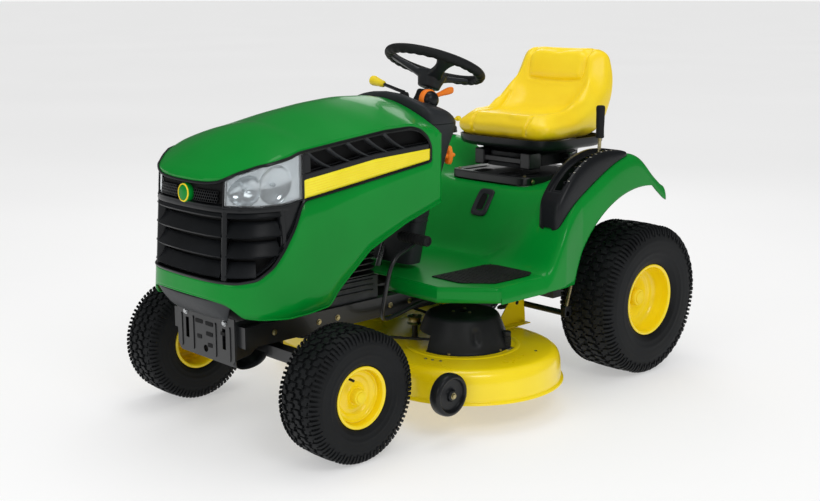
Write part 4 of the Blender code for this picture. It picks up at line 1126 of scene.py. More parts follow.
def swell(piece, pressure, cap, frames, voxel):
    # remesh to even faces, blow it up as stuffed vinyl, and limit how far any point goes
    remesh = piece.modifiers.new("Voxel", "REMESH")
    remesh.mode, remesh.voxel_size = "VOXEL", voxel
    deps = bpy.context.evaluated_depsgraph_get()
    piece.data = bpy.data.meshes.new_from_object(piece.evaluated_get(deps))
    piece.modifiers.clear()
    count = len(piece.data.vertices)
    before = np.zeros(count * 3)
    piece.data.vertices.foreach_get("co", before)
    cloth = piece.modifiers.new("Cloth", "CLOTH")
    cloth.settings.use_pressure, cloth.settings.uniform_pressure_force = True, pressure
    cloth.settings.effector_weights.gravity = 0
    cloth.point_cache.frame_start, cloth.point_cache.frame_end = 1, frames
    for step in range(1, frames + 1):
        bpy.context.scene.frame_set(step)
    deps = bpy.context.evaluated_depsgraph_get()
    after = np.zeros(count * 3)
    piece.evaluated_get(deps).data.vertices.foreach_get("co", after)
    piece.modifiers.clear()
    bpy.context.scene.frame_set(1)
    shift = (after - before).reshape(-1, 3)
    far = np.linalg.norm(shift, axis=1, keepdims=True)
    shift *= np.minimum(1, cap / np.maximum(far, 1e-9))
    piece.data.vertices.foreach_set("co", (before.reshape(-1, 3) + shift).ravel())
    piece.data.update()


def sewGroove(piece, line, depth, width):
    # presses a sewn line into the vinyl: each point sinks along its normal, less the further it is from it
    count = len(piece.data.vertices)
    place, normal = np.zeros(count * 3), np.zeros(count * 3)
    piece.data.vertices.foreach_get("co", place)
    piece.data.vertices.foreach_get("normal", normal)
    place, normal = place.reshape(-1, 3), normal.reshape(-1, 3)
    points = np.asarray(line) + home
    near = np.full(count, 9.0)
    for start in range(0, len(points), 40):
        near = np.minimum(near, np.linalg.norm(place[:, None] - points[None, start:start + 40],
            axis=-1).min(1))
    piece.data.vertices.foreach_set("co", (place - normal * depth
        * np.exp(-(near / width) ** 2)[:, None]).ravel())
    piece.data.update()


def surfaceLine(piece, points, direction):
    # drops points on to the cushion along a direction
    tree = bvhtree.BVHTree.FromObject(piece, bpy.context.evaluated_depsgraph_get())
    found = []
    for point in points:
        spot = tree.ray_cast(Vector(np.asarray(point) + home), Vector(direction))[0]
        if spot is not None:
            found.append(np.array(spot) - home)
    return np.array(found)


def makeCushion():
    cushion = putPiece("seatCushion", bucketShape(.007), "seatVinyl", "seat", smooth=80)
    swell(cushion, seat["pressure"], seat["cap"], seat["frames"], seat["voxel"])
    relax = cushion.modifiers.new("Relax", "CORRECTIVE_SMOOTH")
    relax.factor, relax.iterations, relax.use_only_smooth = .5, 6, True
    soft = cushion.modifiers.new("Soft", "SUBSURF")
    soft.levels = soft.render_levels = 1
    deps = bpy.context.evaluated_depsgraph_get()
    cushion.data = bpy.data.meshes.new_from_object(cushion.evaluated_get(deps))
    cushion.modifiers.clear()
    # seams: the rounded panel on the back, the cross seam, and the piping where top and side panels meet
    edge = evenLine(roundedLine([(-.127, 1.066), (-.127, .972), (-.108, .953), (.108, .953), (.127, .972),
        (.127, 1.066)], 120, .5), 120)
    seams = [surfaceLine(cushion, [(x, .55, z) for x, z in edge], (0, 1, 0))]
    for side in (1, -1):
        t = np.linspace(0, 1, 70)
        seams.append(surfaceLine(cushion, [(side * (.126 + .03 * v * v), .404 + .236 * v, 1.02) for v in t],
            (0, 0, -1)))
        seams.append(surfaceLine(cushion, [(side * (.118 + .008 * v), .34, .792 + .05 * v) for v in t[::2]],
            (0, 1, 0)))
    for line in seams:
        sewGroove(cushion, line, .005, .006)
    cushion.data.shade_smooth()
    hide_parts("seat_cushion")


def makeSeatBase():
    # shallow tray under the cushion, its rim turned up round the vinyl
    outline = ring(.219, .184, 72, 5) + (0, .578)
    rings = [(.02, .714), (.55, .714), (.62, .715), (.66, .722), (.7, .733), (.9, .737), (.97, .743),
        (.992, .754), (1.0, .773), (.985, .774), (.972, .762), (.93, .75), (.86, .75), (.02, .75)]
    points = np.array([atHeight((outline - (0, .58)) * share + (0, .58), level) for share, level in rings])
    tray = gridShape(points, closeV=True, closeU=True)
    legs = []
    for x in (.105, -.105):
        for y, wide in ((.455, .03), (.66, .024)):
            legs.append(block((x - .022, y - wide, .6705), (x + .022, y + wide, .726)))
    bridge = [block((-.12, .43, .684), (.12, .44, .706)), block((-.12, .676, .684), (.12, .686, .706))]
    riser = [atHeight(ring(.092 * grow, .128 * grow, 48, 6) + (0, .56), level)
        for grow, level in ((1.0, .6705), (1.0, .68), (.94, .7), (.94, .72))]
    putPiece("seatRiser", gridShape(np.array(riser), closeV=True, caps=True), "blackPlastic", "seat")
    pan = putPiece("seatPan", tray, "fascia", "seat", smooth=50)
    putPiece("seatPanLegs", together(*legs, *bridge), "blackSteel", "seat", bevelWidth=.004, smooth=30)
    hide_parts("seat_pan")
    # pressed plate with turned-down edges, long slots and a row of short ones drawn as thin near-black shapes
    # of painted shade, and four bolts
    outline = [(-.175, .372), (-.155, .352), (.155, .352), (.175, .372), (.175, .7), (-.175, .7)]
    plate = putPiece("seatPlateTop", prism(outline, .6495, .6545), "blackSteel", "seat_base",
        bevelWidth=.0015, smooth=30)
    edge = np.array([(-.175, .7), (-.175, .372), (-.155, .352), (.155, .352), (.175, .372), (.175, .7)])
    path = atHeight(roundedLine(edge, 90, .3), .64)
    skirt = alongPath(path, [(-.0016, -.0125), (.0016, -.0125), (.0016, .011), (-.0016, .013)])
    putPiece("seatPlateSkirt", skirt, "blackSteel", "seat_base", bevelWidth=.001)
    slotShades = []
    for x in (-.128, -.116, .116, .128):
        slotShades.append(moved(prism(evenLine(ring(.003, .06, 40, 8), 30, closed=True), 0, .0012),
            (x, .43, .6546)))
    for row in range(6):
        slotShades.append(moved(prism(ring(.024, .0022, 16, 6), 0, .0012), (.06, .372 + row * .01, .6546)))
        slotShades.append(moved(prism(ring(.024, .0022, 16, 6), 0, .0012), (-.06, .372 + row * .01, .6546)))
    putPiece("seatPlateSlots", slotShades, "paintedShade", "seat_base")
    bolts = [boltHead((.177, .385, .64), .011, .005, "X"), boltHead((.15, .374, .6548), .01, .004),
        boltHead((-.15, .374, .6548), .01, .004), boltHead((.15, .62, .6548), .01, .004)]
    putPiece("seatPlateBolts", bolts, "zinc", "seat_base", smooth=25)
    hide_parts("seat_plate")
    # two coil springs in zinc wire under the rear of the pan
    coils = []
    for x in (.12, -.12):
        t = np.linspace(0, 1, 150)
        turnAngle = t * 2 * np.pi * 4.4
        bulge = .019 + .005 * np.sin(np.pi * t)
        coil = np.stack([x + bulge * np.cos(turnAngle), .64 + bulge * np.sin(turnAngle), .66 + .08 * t], -1)
        coils.append(alongPath(coil, ring(.0023, count=8)))
    springs = putPiece("seatSprings", coils, "brightSteel", "seat")
    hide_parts("seat_spring")


makeCushion()
makeSeatBase()
print("seat made")

dash = {"levels": [(.425, -.135, -.052, .12, 0), (.5, -.132, -.04, .13, 0), (.62, -.13, -.027, .15, 0),
    (.7, -.13, .018, .172, 0), (.8, -.13, .046, .19, 0), (.855, -.132, .05, .2, 0),
    (.882, -.132, .04, .201, .004), (.9, -.132, .03, .198, .02), (.908, -.125, .012, .18, .024),
    (.9085, -.1, -.01, .12, .026), (.9085, -.06, -.04, .01, .026)], "tilt": 22, "wheel": (0, .098, 1.031)}


def dashNarrow(py, z):
    # the back of the dash is narrower than its front, and more so below the top
    return 1 - (.24 + .12 * unit((.86 - z) / .1)) * unit(py) ** 2


def makeDash():
    # rings of a superellipse, power 5, one for each level, eased between levels
    levels = roundedLine(dash["levels"], 64, .45)
    angle = fullTurn(96)
    c, s = np.cos(angle), np.sin(angle)
    px, py = np.sign(c) * np.abs(c) ** .4, np.sign(s) * np.abs(s) ** .4
    z, front, back, half, rise = [levels[:, k, None] for k in range(5)]
    x = half * px
    y = (front + back) / 2 + (back - front) / 2 * py
    crown = rise * (1 - (x / .205) ** 2)
    x = x * dashNarrow(py, z)
    y = y - .024 * unit(py) * unit((.86 - z) / .06) * unit((z - .62) / .06)
    lift = ((.026 * unit((-.066 - y) / .05) * (1 - (x / .215) ** 2) - .02 * unit((y + .06) / .09))
        * unit((z - .87) / .03))
    points = np.stack([x, y, z + crown + lift + 0 * x], -1)
    points = np.concatenate([[np.array([points[0].mean(0)] * len(angle))], points,
        [np.array([points[-1].mean(0)] * len(angle))]])
    body = putPiece("dashShell", gridShape(points, closeV=True), "greyPlastic", "chassis", smooth=45)
    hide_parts("dash_console")
    # raised trim round the top, and a seam that follows the hood's rear edge
    seam = np.stack([.199 * px * dashNarrow(py, .9), -.044 + .0905 * py, .866 + 0 * px], -1)
    putPiece("dashSeam", alongPath(evenLine(seam, 140, closed=True), ring(.0022, .0016, 8), closed=True),
        "fascia", "chassis")
    ribs = []
    for level in (.56, .58, .6):
        y0 = follow(level, [(v[0], v[1]) for v in dash["levels"]]) - .0005
        y1 = follow(level, [(v[0], v[2]) for v in dash["levels"]]) + .0005
        half0 = follow(level, [(v[0], v[3]) for v in dash["levels"]]) + .0005
        loop = np.stack([half0 * px * dashNarrow(py, level), (y0 + y1) / 2 + (y1 - y0) / 2 * py,
            level + 0 * px], -1)
        ribs.append(alongPath(evenLine(loop, 120, closed=True), ring(.0018, .0024, 8), closed=True))
    putPiece("dashRibs", ribs, "greyPlastic", "chassis")
    # boot round the steering column, narrower upwards, with a collar under the hub
    down = np.array((0, -np.sin(np.radians(dash["tilt"])), -np.cos(np.radians(dash["tilt"]))))
    profile = [(.04, .004), (.0375, .012), (.035, .024), (.0335, .036), (.033, .043), (.031, .047)]
    tilt = turnAbout("X", -dash["tilt"])
    base = np.array(dash["wheel"]) + down * .148
    boot = turned([(.0115, 0.0), (.042, .001), (.043, .006)] + [(r, h + .01) for r, h in profile]
        + [(.0115, .062)], (0, 0, 0), "Z", 48)
    putPiece("columnBoot", moved(moved(boot, turn=tilt), base), "softRubber", "chassis", smooth=60)
    # key switch ring and two screw bosses on the deck of the dash
    ringKey = turned([(.008, 0), (.014, 0), (.014, .003), (.0125, .0045), (.0095, .0045), (.008, .003)],
        (0, 0, 0), "Y", 36, closed=True)
    putPiece("keyRing", moved(ringKey, (.12, .0475, .868)), "brightSteel", "chassis")
    screws = [moved(turned([(0, .003), (.004, .0026), (.006, .001), (.0065, 0)], (0, 0, 0), "Z", 20), spot)
        for spot in ((.15, -.088, .926), (.128, -.055, .9235), (-.15, -.088, .926))]
    putPiece("dashScrews", screws, "fascia", "chassis")


def makeSteeringWheel():
    # rim with thumb waves beneath, three flared spokes falling into a deep squarish hub
    radius, grip = .152, .0158
    angle = fullTurn(216)
    round_ = fullTurn(18)
    under = unit(-np.sin(round_))
    wave = grip * (1 - .13 * under[None] * (1 + np.cos(angle * 30))[:, None] / 2)
    r = radius + wave * np.cos(round_)[None] - .0004
    z = wave * np.sin(round_)[None]
    rim = gridShape(np.stack([r * np.cos(angle)[:, None], r * np.sin(angle)[:, None], z], -1), True, True)
    spokes = []
    for turn in (90, 210, 330):
        t = np.linspace(0, 1, 34)
        out = .016 + (radius - .016) * t
        drop = -.003 - .043 * (1 - t) ** 1.2
        wide = .031 - .012 * np.sin(np.pi * unit(t * 1.1)) + .01 * t ** 6
        outline = ring(1.0, 1.0, 20, 3.2)
        points = np.stack([out[:, None] + 0 * outline[None, :, 0], outline[None, :, 0] * wide[:, None],
            drop[:, None] + outline[None, :, 1] * (.0065 + .009 * (1 - t) ** 1.5)[:, None]], -1)
        spoke = gridShape(points, closeV=True, caps=True)
        spokes.append(moved(spoke, turn=turnAbout("Z", turn)))
    level = np.array([(.012, -.0795), (.028, -.0795), (.032, -.0765), (.034, -.066), (.0385, -.05),
        (.043, -.036), (.044, -.029), (.042, -.0255), (.037, -.025), (.03, -.0275), (.001, -.029)])
    section = roundedLine(level, 44, .4)
    corner = ring(1, 1, 72, 3.0)
    cup = np.stack([section[:, :1] * corner[None, :, 0], section[:, :1] * corner[None, :, 1],
        section[:, 1:] + 0 * corner[None, :, 0]], -1)
    hub = gridShape(cup, closeV=True)
    tilt = turnAbout("X", -dash["tilt"])
    place = lambda shape: moved(moved(shape, turn=tilt), dash["wheel"])
    rimPiece = putPiece("wheelRim", place(rim), "softRubber", "steering", smooth=60)
    putPiece("wheelSpokes", place(together(*spokes)), "greyPlastic", "steering", smooth=50)
    putPiece("wheelHub", place(hub), "greyPlastic", "steering")
    cover = turned([(0, .0045), (.018, .004), (.024, .0022), (.0255, 0), (.0255, -.008)], (0, 0, -.027), "Z",
        48)
    putPiece("wheelCap", place(cover), "fascia", "steering")
    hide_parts("steering_wheel")


def flatBar(points, widths, depth, up=(0, 0, 1), power=3.0, samples=44):
    # a bar of changing width: a squarish section carried along a rounded line
    path = evenLine(roundedLine(points, samples * 2, .5), samples)
    wide = roundedLine(np.array(widths, float)[:, None], samples, .5)[:, 0]
    outline = ring(1.0, 1.0, 20, power)
    ahead = np.gradient(path, axis=0)
    ahead /= np.linalg.norm(ahead, axis=1, keepdims=True)
    side = np.cross(ahead, np.array(up, float))
    side /= np.linalg.norm(side, axis=1, keepdims=True)
    over = np.cross(side, ahead)
    ends = np.sqrt(np.clip(1 - np.abs(np.linspace(-1, 1, samples)) ** 14, .02, 1))
    points = (path[:, None] + side[:, None] * (outline[None, :, :1] * (wide * ends)[:, None, None])
        + over[:, None] * (outline[None, :, 1:] * (depth * ends)[:, None, None]))
    return gridShape(points, closeV=True, caps=True)


def makeHandControls():
    # throttle: black dome on the dash, orange hub band and paddle
    dome = turned([(0.0, .034), (.01, .033), (.019, .029), (.025, .022), (.028, .012), (.0285, .002),
        (.0285, -.01)], (.1, -.031, .932), "X", 48)
    putPiece("throttleDome", dome, "fascia", "chassis", smooth=50)
    hub = turned([(.004, -.0105), (.03, -.0105), (.0325, -.008), (.0325, .008), (.03, .0105), (.004, .0105)],
        (.1, -.031, .932), "X", 48, closed=True)
    arm = flatBar([(.1, -.026, .938), (.1, -.002, .941), (.1, .022, .947), (.1, .05, .953), (.1, .081, .958)],
        [.008, .0062, .0075, .0118, .0108], .006, up=(1, 0, 0), power=2.6)
    lever = putPiece("throttlePaddle", together(hub, arm), "orangePlastic", "throttle", smooth=50)
    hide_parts("throttle_lever")
    # blade switch: black rod from a slot in the dash, yellow barrel knob
    shaft = rod([(-.04, 0, .9465), (-.07, 0, .952), (-.105, 0, .96), (-.14, 0, .9672)], .0058, 30, 12,
        (0, 1, 0))
    putPiece("bladeRod", shaft, "blackSteel", "blade_engage")
    t = np.array([(0, -.001), (.0075, 0), (.0105, .004), (.0122, .014), (.013, .026), (.0158, .044),
        (.0168, .052), (.015, .06), (.008, .064), (0, .065)])
    knob = turned(roundedLine(t, 40, .4), (0, 0, 0), "X", 40)
    knob = moved(knob, turn=turnAbout("Y", 180 + 11.4))
    knobPiece = putPiece("bladeKnob", moved(knob, (-.133, 0, .9657)), "yellowPlastic", "blade_engage",
        smooth=50)
    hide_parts("pto_lever")
    socket = turned([(.007, .01), (.012, .009), (.015, .004), (.017, -.01)], (-.04, 0, .937), "Z", 32)
    putPiece("bladeBoot", socket, "softRubber", "chassis")
    # ignition key: shank, collar and a flat bow with a hole
    angle = fullTurn(40)
    bow = np.array([[(.0125 * np.cos(a), .0085 * np.sin(a)) for a in angle],
        [(.0045 * np.cos(a), .003 * np.sin(a)) for a in angle]])
    rings = [np.insert(bow[0], 1, -.0016, axis=1), np.insert(bow[0], 1, .0016, axis=1),
        np.insert(bow[1], 1, .0016, axis=1), np.insert(bow[1], 1, -.0016, axis=1)]
    bowShape = gridShape(np.array(rings), closeU=True, closeV=True)
    shank = turned([(0, -.034), (.003, -.034), (.003, -.012), (.006, -.01), (.006, -.004), (0, -.004)],
        (0, .02, 0), "Y", 24)
    bowPlace = moved(moved(bowShape, turn=turnAbout("Z", 90)), (.12, .0835, .868))
    key = putPiece("keyBow", together(bowPlace, moved(shank, (.12, .068, .868))), "yellowPlastic", "key")
    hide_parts("ignition_key")
    # cruise and parking knob: a winged thumb piece on a stem
    wing = flatBar([(.1, .058, .722), (.1, .062, .74), (.1, .062, .76), (.1, .06, .782)],
        [.01, .015, .014, .008], .01, up=(0, 1, 0))
    fin = flatBar([(.1, .05, .75), (.1, .066, .75), (.1, .084, .752)], [.013, .009, .011], .0062)
    stem = turned([(0, -.03), (.0085, -.03), (.0085, .01), (0, .01)], (.1, .05, .75), "Y", 20)
    knob = putPiece("cruiseKnob", together(wing, fin, stem), "orangePlastic", "cruise", smooth=45)
    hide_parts("cruise_lever")


def makeFootControls():
    # bent brake rod from the pad down to the cross shaft
    route = [(.24, -.228, .5237), (.252, -.27, .515), (.262, -.318, .505), (.264, -.345, .47),
        (.26, -.36, .4), (.252, -.366, .34), (.24, -.35, .312), (.225, -.29, .312), (.205, -.18, .325),
        (.2, -.12, .33)]
    arm = rod(route, .0065, 90, 14, up=(.9, .1, .2), reach=.4)
    lever = putPiece("brakeArm", arm, "blackSteel", "brake", smooth=60)
    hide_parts("brake_pedal")
    pad = [(0, -.06), (.01, -.06), (.0148, -.0585), (.0162, -.055)]
    for k in range(9):
        pad += [(.0163, -.05 + k * .0125), (.015, -.0475 + k * .0125), (.015, -.045 + k * .0125),
            (.0163, -.0425 + k * .0125)]
    pad += [(.0162, .057), (.0148, .0595), (.0105, .06), (.0095, .057), (.006, .056), (0, .056)]
    sleeve = turned(pad, (.24, -.225, .54), "X", 40)
    putPiece("brakePad", sleeve, "softRubber", "brake", smooth=35)


makeDash()
makeSteeringWheel()
makeHandControls()
makeFootControls()
print("driver's place made")

deck = {
    "centres": ((.28, -.04), (-.28, .04)), "radius": .305,
    "section": [(0, .088), (.0004, .0915), (.003, .094), (.0072, .0955), (.0085, .0985), (.009, .115),
        (.0098, .14), (.013, .16), (.02, .1755), (.033, .184), (.05, .1856), (.1, .1866), (.15, .1872),
        (.2, .1872), (.25, .1872), (.3049, .1872)],
    "spindles": {"left": (.265, -.04), "right": (-.265, .04)},
}


def deckRing(inset):
    # two arcs and the straights between them; each point moves inwards to the line between the arc centres
    angle = fullTurn(400)
    normal = np.stack([np.cos(angle), np.sin(angle)], 1)
    centres = np.array(deck["centres"])
    owner = np.argmax(normal @ centres.T, axis=1)
    outline = evenLine(centres[owner] + deck["radius"] * normal, 240, closed=True)
    along = centres[0] - centres[1]
    share = unit((outline - centres[1]) @ along / (along @ along))
    core = centres[1] + share[:, None] * along
    return core + (outline - core) * (1 - inset / deck["radius"])


def cutAway(piece, *shapes):
    # takes shapes away from a piece for good, with a boolean that is applied at once
    for shape in shapes:
        mesh = bpy.data.meshes.new("tool")
        mesh.from_pydata((shape[0] + home).tolist(), [], shape[1])
        tool = bpy.data.objects.new("tool", mesh)
        addToScene(tool)
        work = bmesh.new()
        work.from_mesh(mesh)
        bmesh.ops.remove_doubles(work, verts=work.verts, dist=.00002)
        bmesh.ops.recalc_face_normals(work, faces=work.faces)
        work.to_mesh(mesh)
        work.free()
        cut = piece.modifiers.new("Cut", "BOOLEAN")
        cut.object, cut.operation, cut.solver = tool, "DIFFERENCE", "EXACT"
    deps = bpy.context.evaluated_depsgraph_get()
    old = piece.data
    piece.data = bpy.data.meshes.new_from_object(piece.evaluated_get(deps))
    piece.data.name = old.name + "Cut"
    tools = [cut.object for cut in piece.modifiers if cut.type == "BOOLEAN"]
    piece.modifiers.clear()
    for tool in tools:
        bpy.data.objects.remove(tool)


def makeDeck():
    section = roundedLine(deck["section"], 60, .4)
    outer = np.array([atHeight(deckRing(inset), z) for inset, z in section])
    inner = np.array([atHeight(deckRing(inset + .003), z - .003 * unit((z - .1) / .07))
        for inset, z in section[:-2]])
    closing = np.array([atHeight(deckRing(.3049), .1842)])
    shape = gridShape(np.concatenate([outer, closing, inner[::-1]]), closeU=True, closeV=True)
    shell = putPiece("deckShell", shape, "yellowCoat", "deck")
    holes = [turned([(0, .15), (.022, .15), (.022, .2), (0, .2)], (x, y, 0), "Z", 32)
        for x, y in deck["spindles"].values()]
    mouth = block((-.64, -.08, .096), (-.52, .16, .166))
    cutAway(shell, *holes, mouth)
    shell.data.shade_smooth()
    shell.data.set_sharp_from_angle(angle=radians(38))
    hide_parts("mower_deck")
    # pressed stiffening rings round each spindle
    rings = []
    for x, y in deck["spindles"].values():
        rings.append(turned([(.163, .1868), (.166, .1885), (.172, .1889), (.178, .1885), (.181, .1868)],
            (x, y, 0), "Z", 90))
    putPiece("deckPressings", rings, "yellowCoat", "deck", smooth=60)


def makeSpindleCovers():
    for label, (x, y) in deck["spindles"].items():
        profile = roundedLine([(.012, .2895), (.06, .2895), (.1, .289), (.1085, .287), (.114, .282),
            (.12, .268), (.13, .243), (.138, .222), (.144, .202), (.1465, .1925), (.15, .19), (.152, .1893)],
            56, .35)
        steps = 120
        angle = fullTurn(steps)
        # a shallow lens-shaped recess on the flank, where the tool was cored
        facing = -28 if label == "left" else 152
        away = (np.degrees(angle) - facing + 180) % 360 - 180
        recess = np.exp(-(away / 5.0) ** 4)[:, None] * np.exp(-((profile[None, :, 1] - .238) / .024) ** 4)
        r = profile[None, :, 0] - .01 * recess
        points = np.stack([x + r * np.cos(angle)[:, None], y + r * np.sin(angle)[:, None],
            profile[None, :, 1] + 0 * r], -1)
        back = 203 if label == "left" else 23
        gap = np.abs((np.degrees(angle) - back + 180) % 360 - 180) < 62
        keep = ~(gap[:, None] & (profile[None, :-1, 1] < .238))
        cover = putPiece(f"beltCover_{label}", gridShape(points, closeU=True, keep=keep), "blackPlastic",
            "deck", thick=.0024)
        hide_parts(f"spindle_cover_{label}")
        screws = [boltHead((x + .03 * np.cos(a), y + .03 * np.sin(a), .2895), .008, .004)
            for a in np.radians((0, 120, 240))]
        screws += [boltHead((x + .146 * np.cos(a), y + .146 * np.sin(a), .1898), .009, .005)
            for a in np.radians((facing - 34, facing + 34))]
        putPiece(f"beltCoverBolts_{label}", screws, "zinc", "deck", smooth=25)


def makeGaugeWheels():
    for side, label in ((1, "left"), (-1, "right")):
        centre = (side * .495, -.335, .142)
        face = [(.0062, .0195), (.0115, .0195), (.015, .018), (.0165, .009), (.024, .006), (.04, .0065),
            (.0455, .0085), (.049, .018), (.053, .0192), (.059, .0165), (.0617, .011), (.0625, .003)]
        outline = roundedLine(face, 50, .35)
        profile = np.vstack([outline, outline[::-1] * (1, -1)])
        wheel = turned(profile, (0, 0, 0), "X", 72, closed=True)
        wheel = moved(mirrored(wheel) if side < 0 else wheel, centre)
        piece = putPiece(f"gaugeRoller_{label}", wheel, "fascia", f"gauge_{label}", smooth=45)
        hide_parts(f"gauge_wheel_{label}")
        bolt = together(boltHead((.0195, 0, 0), .013, .006, "X"),
            turned([(0, .019), (.006, .019), (.006, -.04), (0, -.04)], (0, 0, 0), "X", 20),
            moved(boltHead((0, 0, 0), .013, .006, "X"), (-.0395, 0, 0), turn=turnAbout("Z", 180)))
        bolt = moved(mirrored(bolt) if side < 0 else bolt, centre)
        putPiece(f"gaugeBolt_{label}", bolt, "zinc", "deck", smooth=25)
        arm = prism([(-.352, .122), (-.352, .164), (-.335, .17), (-.262, .17), (-.262, .112), (-.335, .112)],
            .46, .465, "X")
        foot = block((.44, -.3, .112), (.465, -.294, .17))
        holder = together(arm, foot)
        putPiece(f"gaugeBracket_{label}", mirrored(holder) if side < 0 else holder, "yellowCoat", "deck",
            bevelWidth=.0015, smooth=30)


def makeDeckFittings():
    # hanger plates with their pin holes and folded feet
    plate = prism([(.15, .186), (.3, .186), (.292, .262), (.284, .276), (.224, .276), (.214, .262)], .226,
        .23, "X")
    foot = block((.226, .16, .1868), (.26, .292, .1905))
    # each pin hole is a near-black disc on the plate: painted shade
    hole = turned([(0, .0012), (.0062, .0012), (.0075, .0003), (.008, 0)], (0, 0, 0), "X", 28)
    holeShade = moved(hole, (.2302, .256, .258))
    putPiece("deckHangers", bothSides([plate, foot]), "yellowCoat", "deck", bevelWidth=.0015, smooth=30)
    putPiece("deckHangerHoles", bothSides([holeShade]), "paintedShade", "deck")
    # idler: two dished zinc flanges on a bolt
    idler = turned(roundedLine([(.006, .256), (.02, .256), (.0245, .258), (.025, .2565), (.02, .252),
        (.019, .245), (.02, .239), (.025, .2345), (.0245, .233), (.02, .235), (.006, .235)], 60, .3),
        (.119, -.105, 0), "Z", 48, closed=True)
    putPiece("idlerPulley", together(idler, boltHead((.119, -.105, .256), .014, .007)), "zinc", "deck",
        smooth=30)
    stand = turned([(0, .234), (.009, .234), (.009, .19), (.016, .1868), (0, .1868)], (.119, -.105, 0), "Z",
        24)
    putPiece("idlerPost", stand, "blackSteel", "deck")
    # wash port: ribbed hose nipple on a zinc plate
    port = [(0, .24), (.008, .24), (.0125, .2395), (.014, .237), (.014, .226), (.012, .2245)]
    port += [(r, z) for k in range(4) for r, z in ((.015, .2235 - k * .0075), (.015, .2185 - k * .0075),
        (.0138, .2175 - k * .0075))]
    port += [(.015, .19), (.015, .1885), (0, .1885)]
    putPiece("washPort", turned(port, (.395, .02, 0), "Z", 12), "blackPlastic", "deck", smooth=30)
    base = prism(ring(.026, .017, 40, 4) + (.395, .018), .186, .1889)
    screws = [boltHead((.395 + dx, .018, .1889), .006, .0025) for dx in (-.019, .019)]
    putPiece("washPortPlate", together(base, *screws), "brightSteel", "deck", bevelWidth=.0006, smooth=30)
    # carriage bolts through the top
    heads = [moved(turned([(0, .0024), (.0035, .002), (.0052, .0008), (.0056, 0)], (0, 0, 0), "Z", 18), spot)
        for spot in ((.33, -.235, .186), (.306, -.24, .186), (.355, -.226, .186), (-.33, .235, .186),
        (.12, -.25, .1862), (-.12, .25, .1862), (.48, .06, .1855), (-.475, -.1, .1855))]
    putPiece("deckBolts", heads, "brightSteel", "deck")


def makeBladesAndChute():
    for label, (x, y) in deck["spindles"].items():
        # blade: a flat bar whose cutting edges thin out towards the tips
        along = np.linspace(-.265, .265, 90)
        across = np.linspace(-.028, .028, 9)
        tip = unit((np.abs(along) - .17) / .09)
        edge = unit((np.sign(along)[:, None] * across[None] + .028) / .056)
        top = .127 - .0022 * tip[:, None] * (1 - edge)
        low = .1225 + 0 * top
        px, py = along[:, None] + 0 * across, across[None] + 0 * along[:, None]
        upper = np.stack([x + px, y + py, top], -1)
        lower = np.stack([x + px, y + py, low], -1)
        rings = np.concatenate([upper, lower[:, ::-1]], axis=1)
        piece = putPiece(f"cutterBar_{label}", gridShape(rings, closeV=True, caps=True), "blackSteel",
            f"cutter_{label}", smooth=30)
        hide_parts(f"blade_{label}")
    rows = []
    for t in np.linspace(0, 1, 26):
        x = -.587 - .172 * t
        z = .186 + .008 * np.sin(np.pi * min(1, t * 1.6)) - .05 * t ** 2.2
        rows.append([(x, y, z - .004 * (abs(v) ** 6)) for v, y in zip(np.linspace(-1, 1, 21),
            np.linspace(-.089, .171, 21))])
    top = gridShape(np.array(rows))
    chute = putPiece("chuteTop", top, "blackPlastic", "chute", smooth=50, thick=.0035)
    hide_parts("discharge_chute")
    walls = [prism([(-.6, .152), (-.6, .184), (-.64, .182), (-.7, .166), (-.756, .134), (-.756, .106)], y,
        y + .003, "Y") for y in (-.0915, .1685)]
    ribs = [prism([(-.612, .1935), (-.612, .1985), (-.69, .184), (-.69, .1775)], y, y + .003, "Y")
        for y in (-.02, .04, .1)]
    putPiece("chuteWalls", together(*walls, *ribs), "blackPlastic", "chute", bevelWidth=.0008, smooth=30)
    hinge = turned([(0, -.0925), (.0042, -.0925), (.0042, .1725), (0, .1725)], (-.59, 0, .189), "Y", 16)
    putPiece("chuteHingePin", hinge, "zinc", "chute")


makeDeck()
makeSpindleCovers()
makeGaugeWheels()
makeDeckFittings()
makeBladesAndChute()
print("mowing deck made")


def makeLiftLever():
    # zinc rod up through the slot, with a black grip on it
    route = [(.4, .3, .262), (.4, .35, .42), (.4, .4, .58), (.4, .44, .7), (.4, .448, .76), (.4, .449, .802)]
    low = [(-.23, .3, .245), (.395, .3, .245)]
    upright = rod(route, .0058, 60, 14, up=(1, 0, 0), reach=.45)
    shaft = alongPath(np.linspace(low[0], (.4085, .3, .245), 12), ring(.0098, count=20))
    arms = []
    for x in (.2, -.2):
        arms.append(prism([(.3, .231), (.314, .236), (.314, .254), (.3, .259), (.205, .252), (.196, .249),
            (.196, .241), (.205, .238)], x - .004, x + .004, "X"))
    knee = block((.39, .286, .236), (.4085, .318, .27))
    lever = putPiece("liftRod", upright, "zinc", "lift", smooth=60)
    putPiece("liftShaft", together(shaft, *arms, knee), "blackSteel", "lift", bevelWidth=.001)
    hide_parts("lift_lever")
    outline = [(.007, .8), (.012, .8005), (.014, .803), (.0132, .812), (.0128, .83), (.0135, .85),
        (.0138, .88), (.0146, .892), (.014, .9), (.011, .9045), (.006, .905), (0, .905)]
    grip = putPiece("liftGrip", turned(roundedLine(outline, 60, .35), (.4, .449, 0), "Z", 36), "softRubber",
        "lift", smooth=50)
    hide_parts("lift_grip")


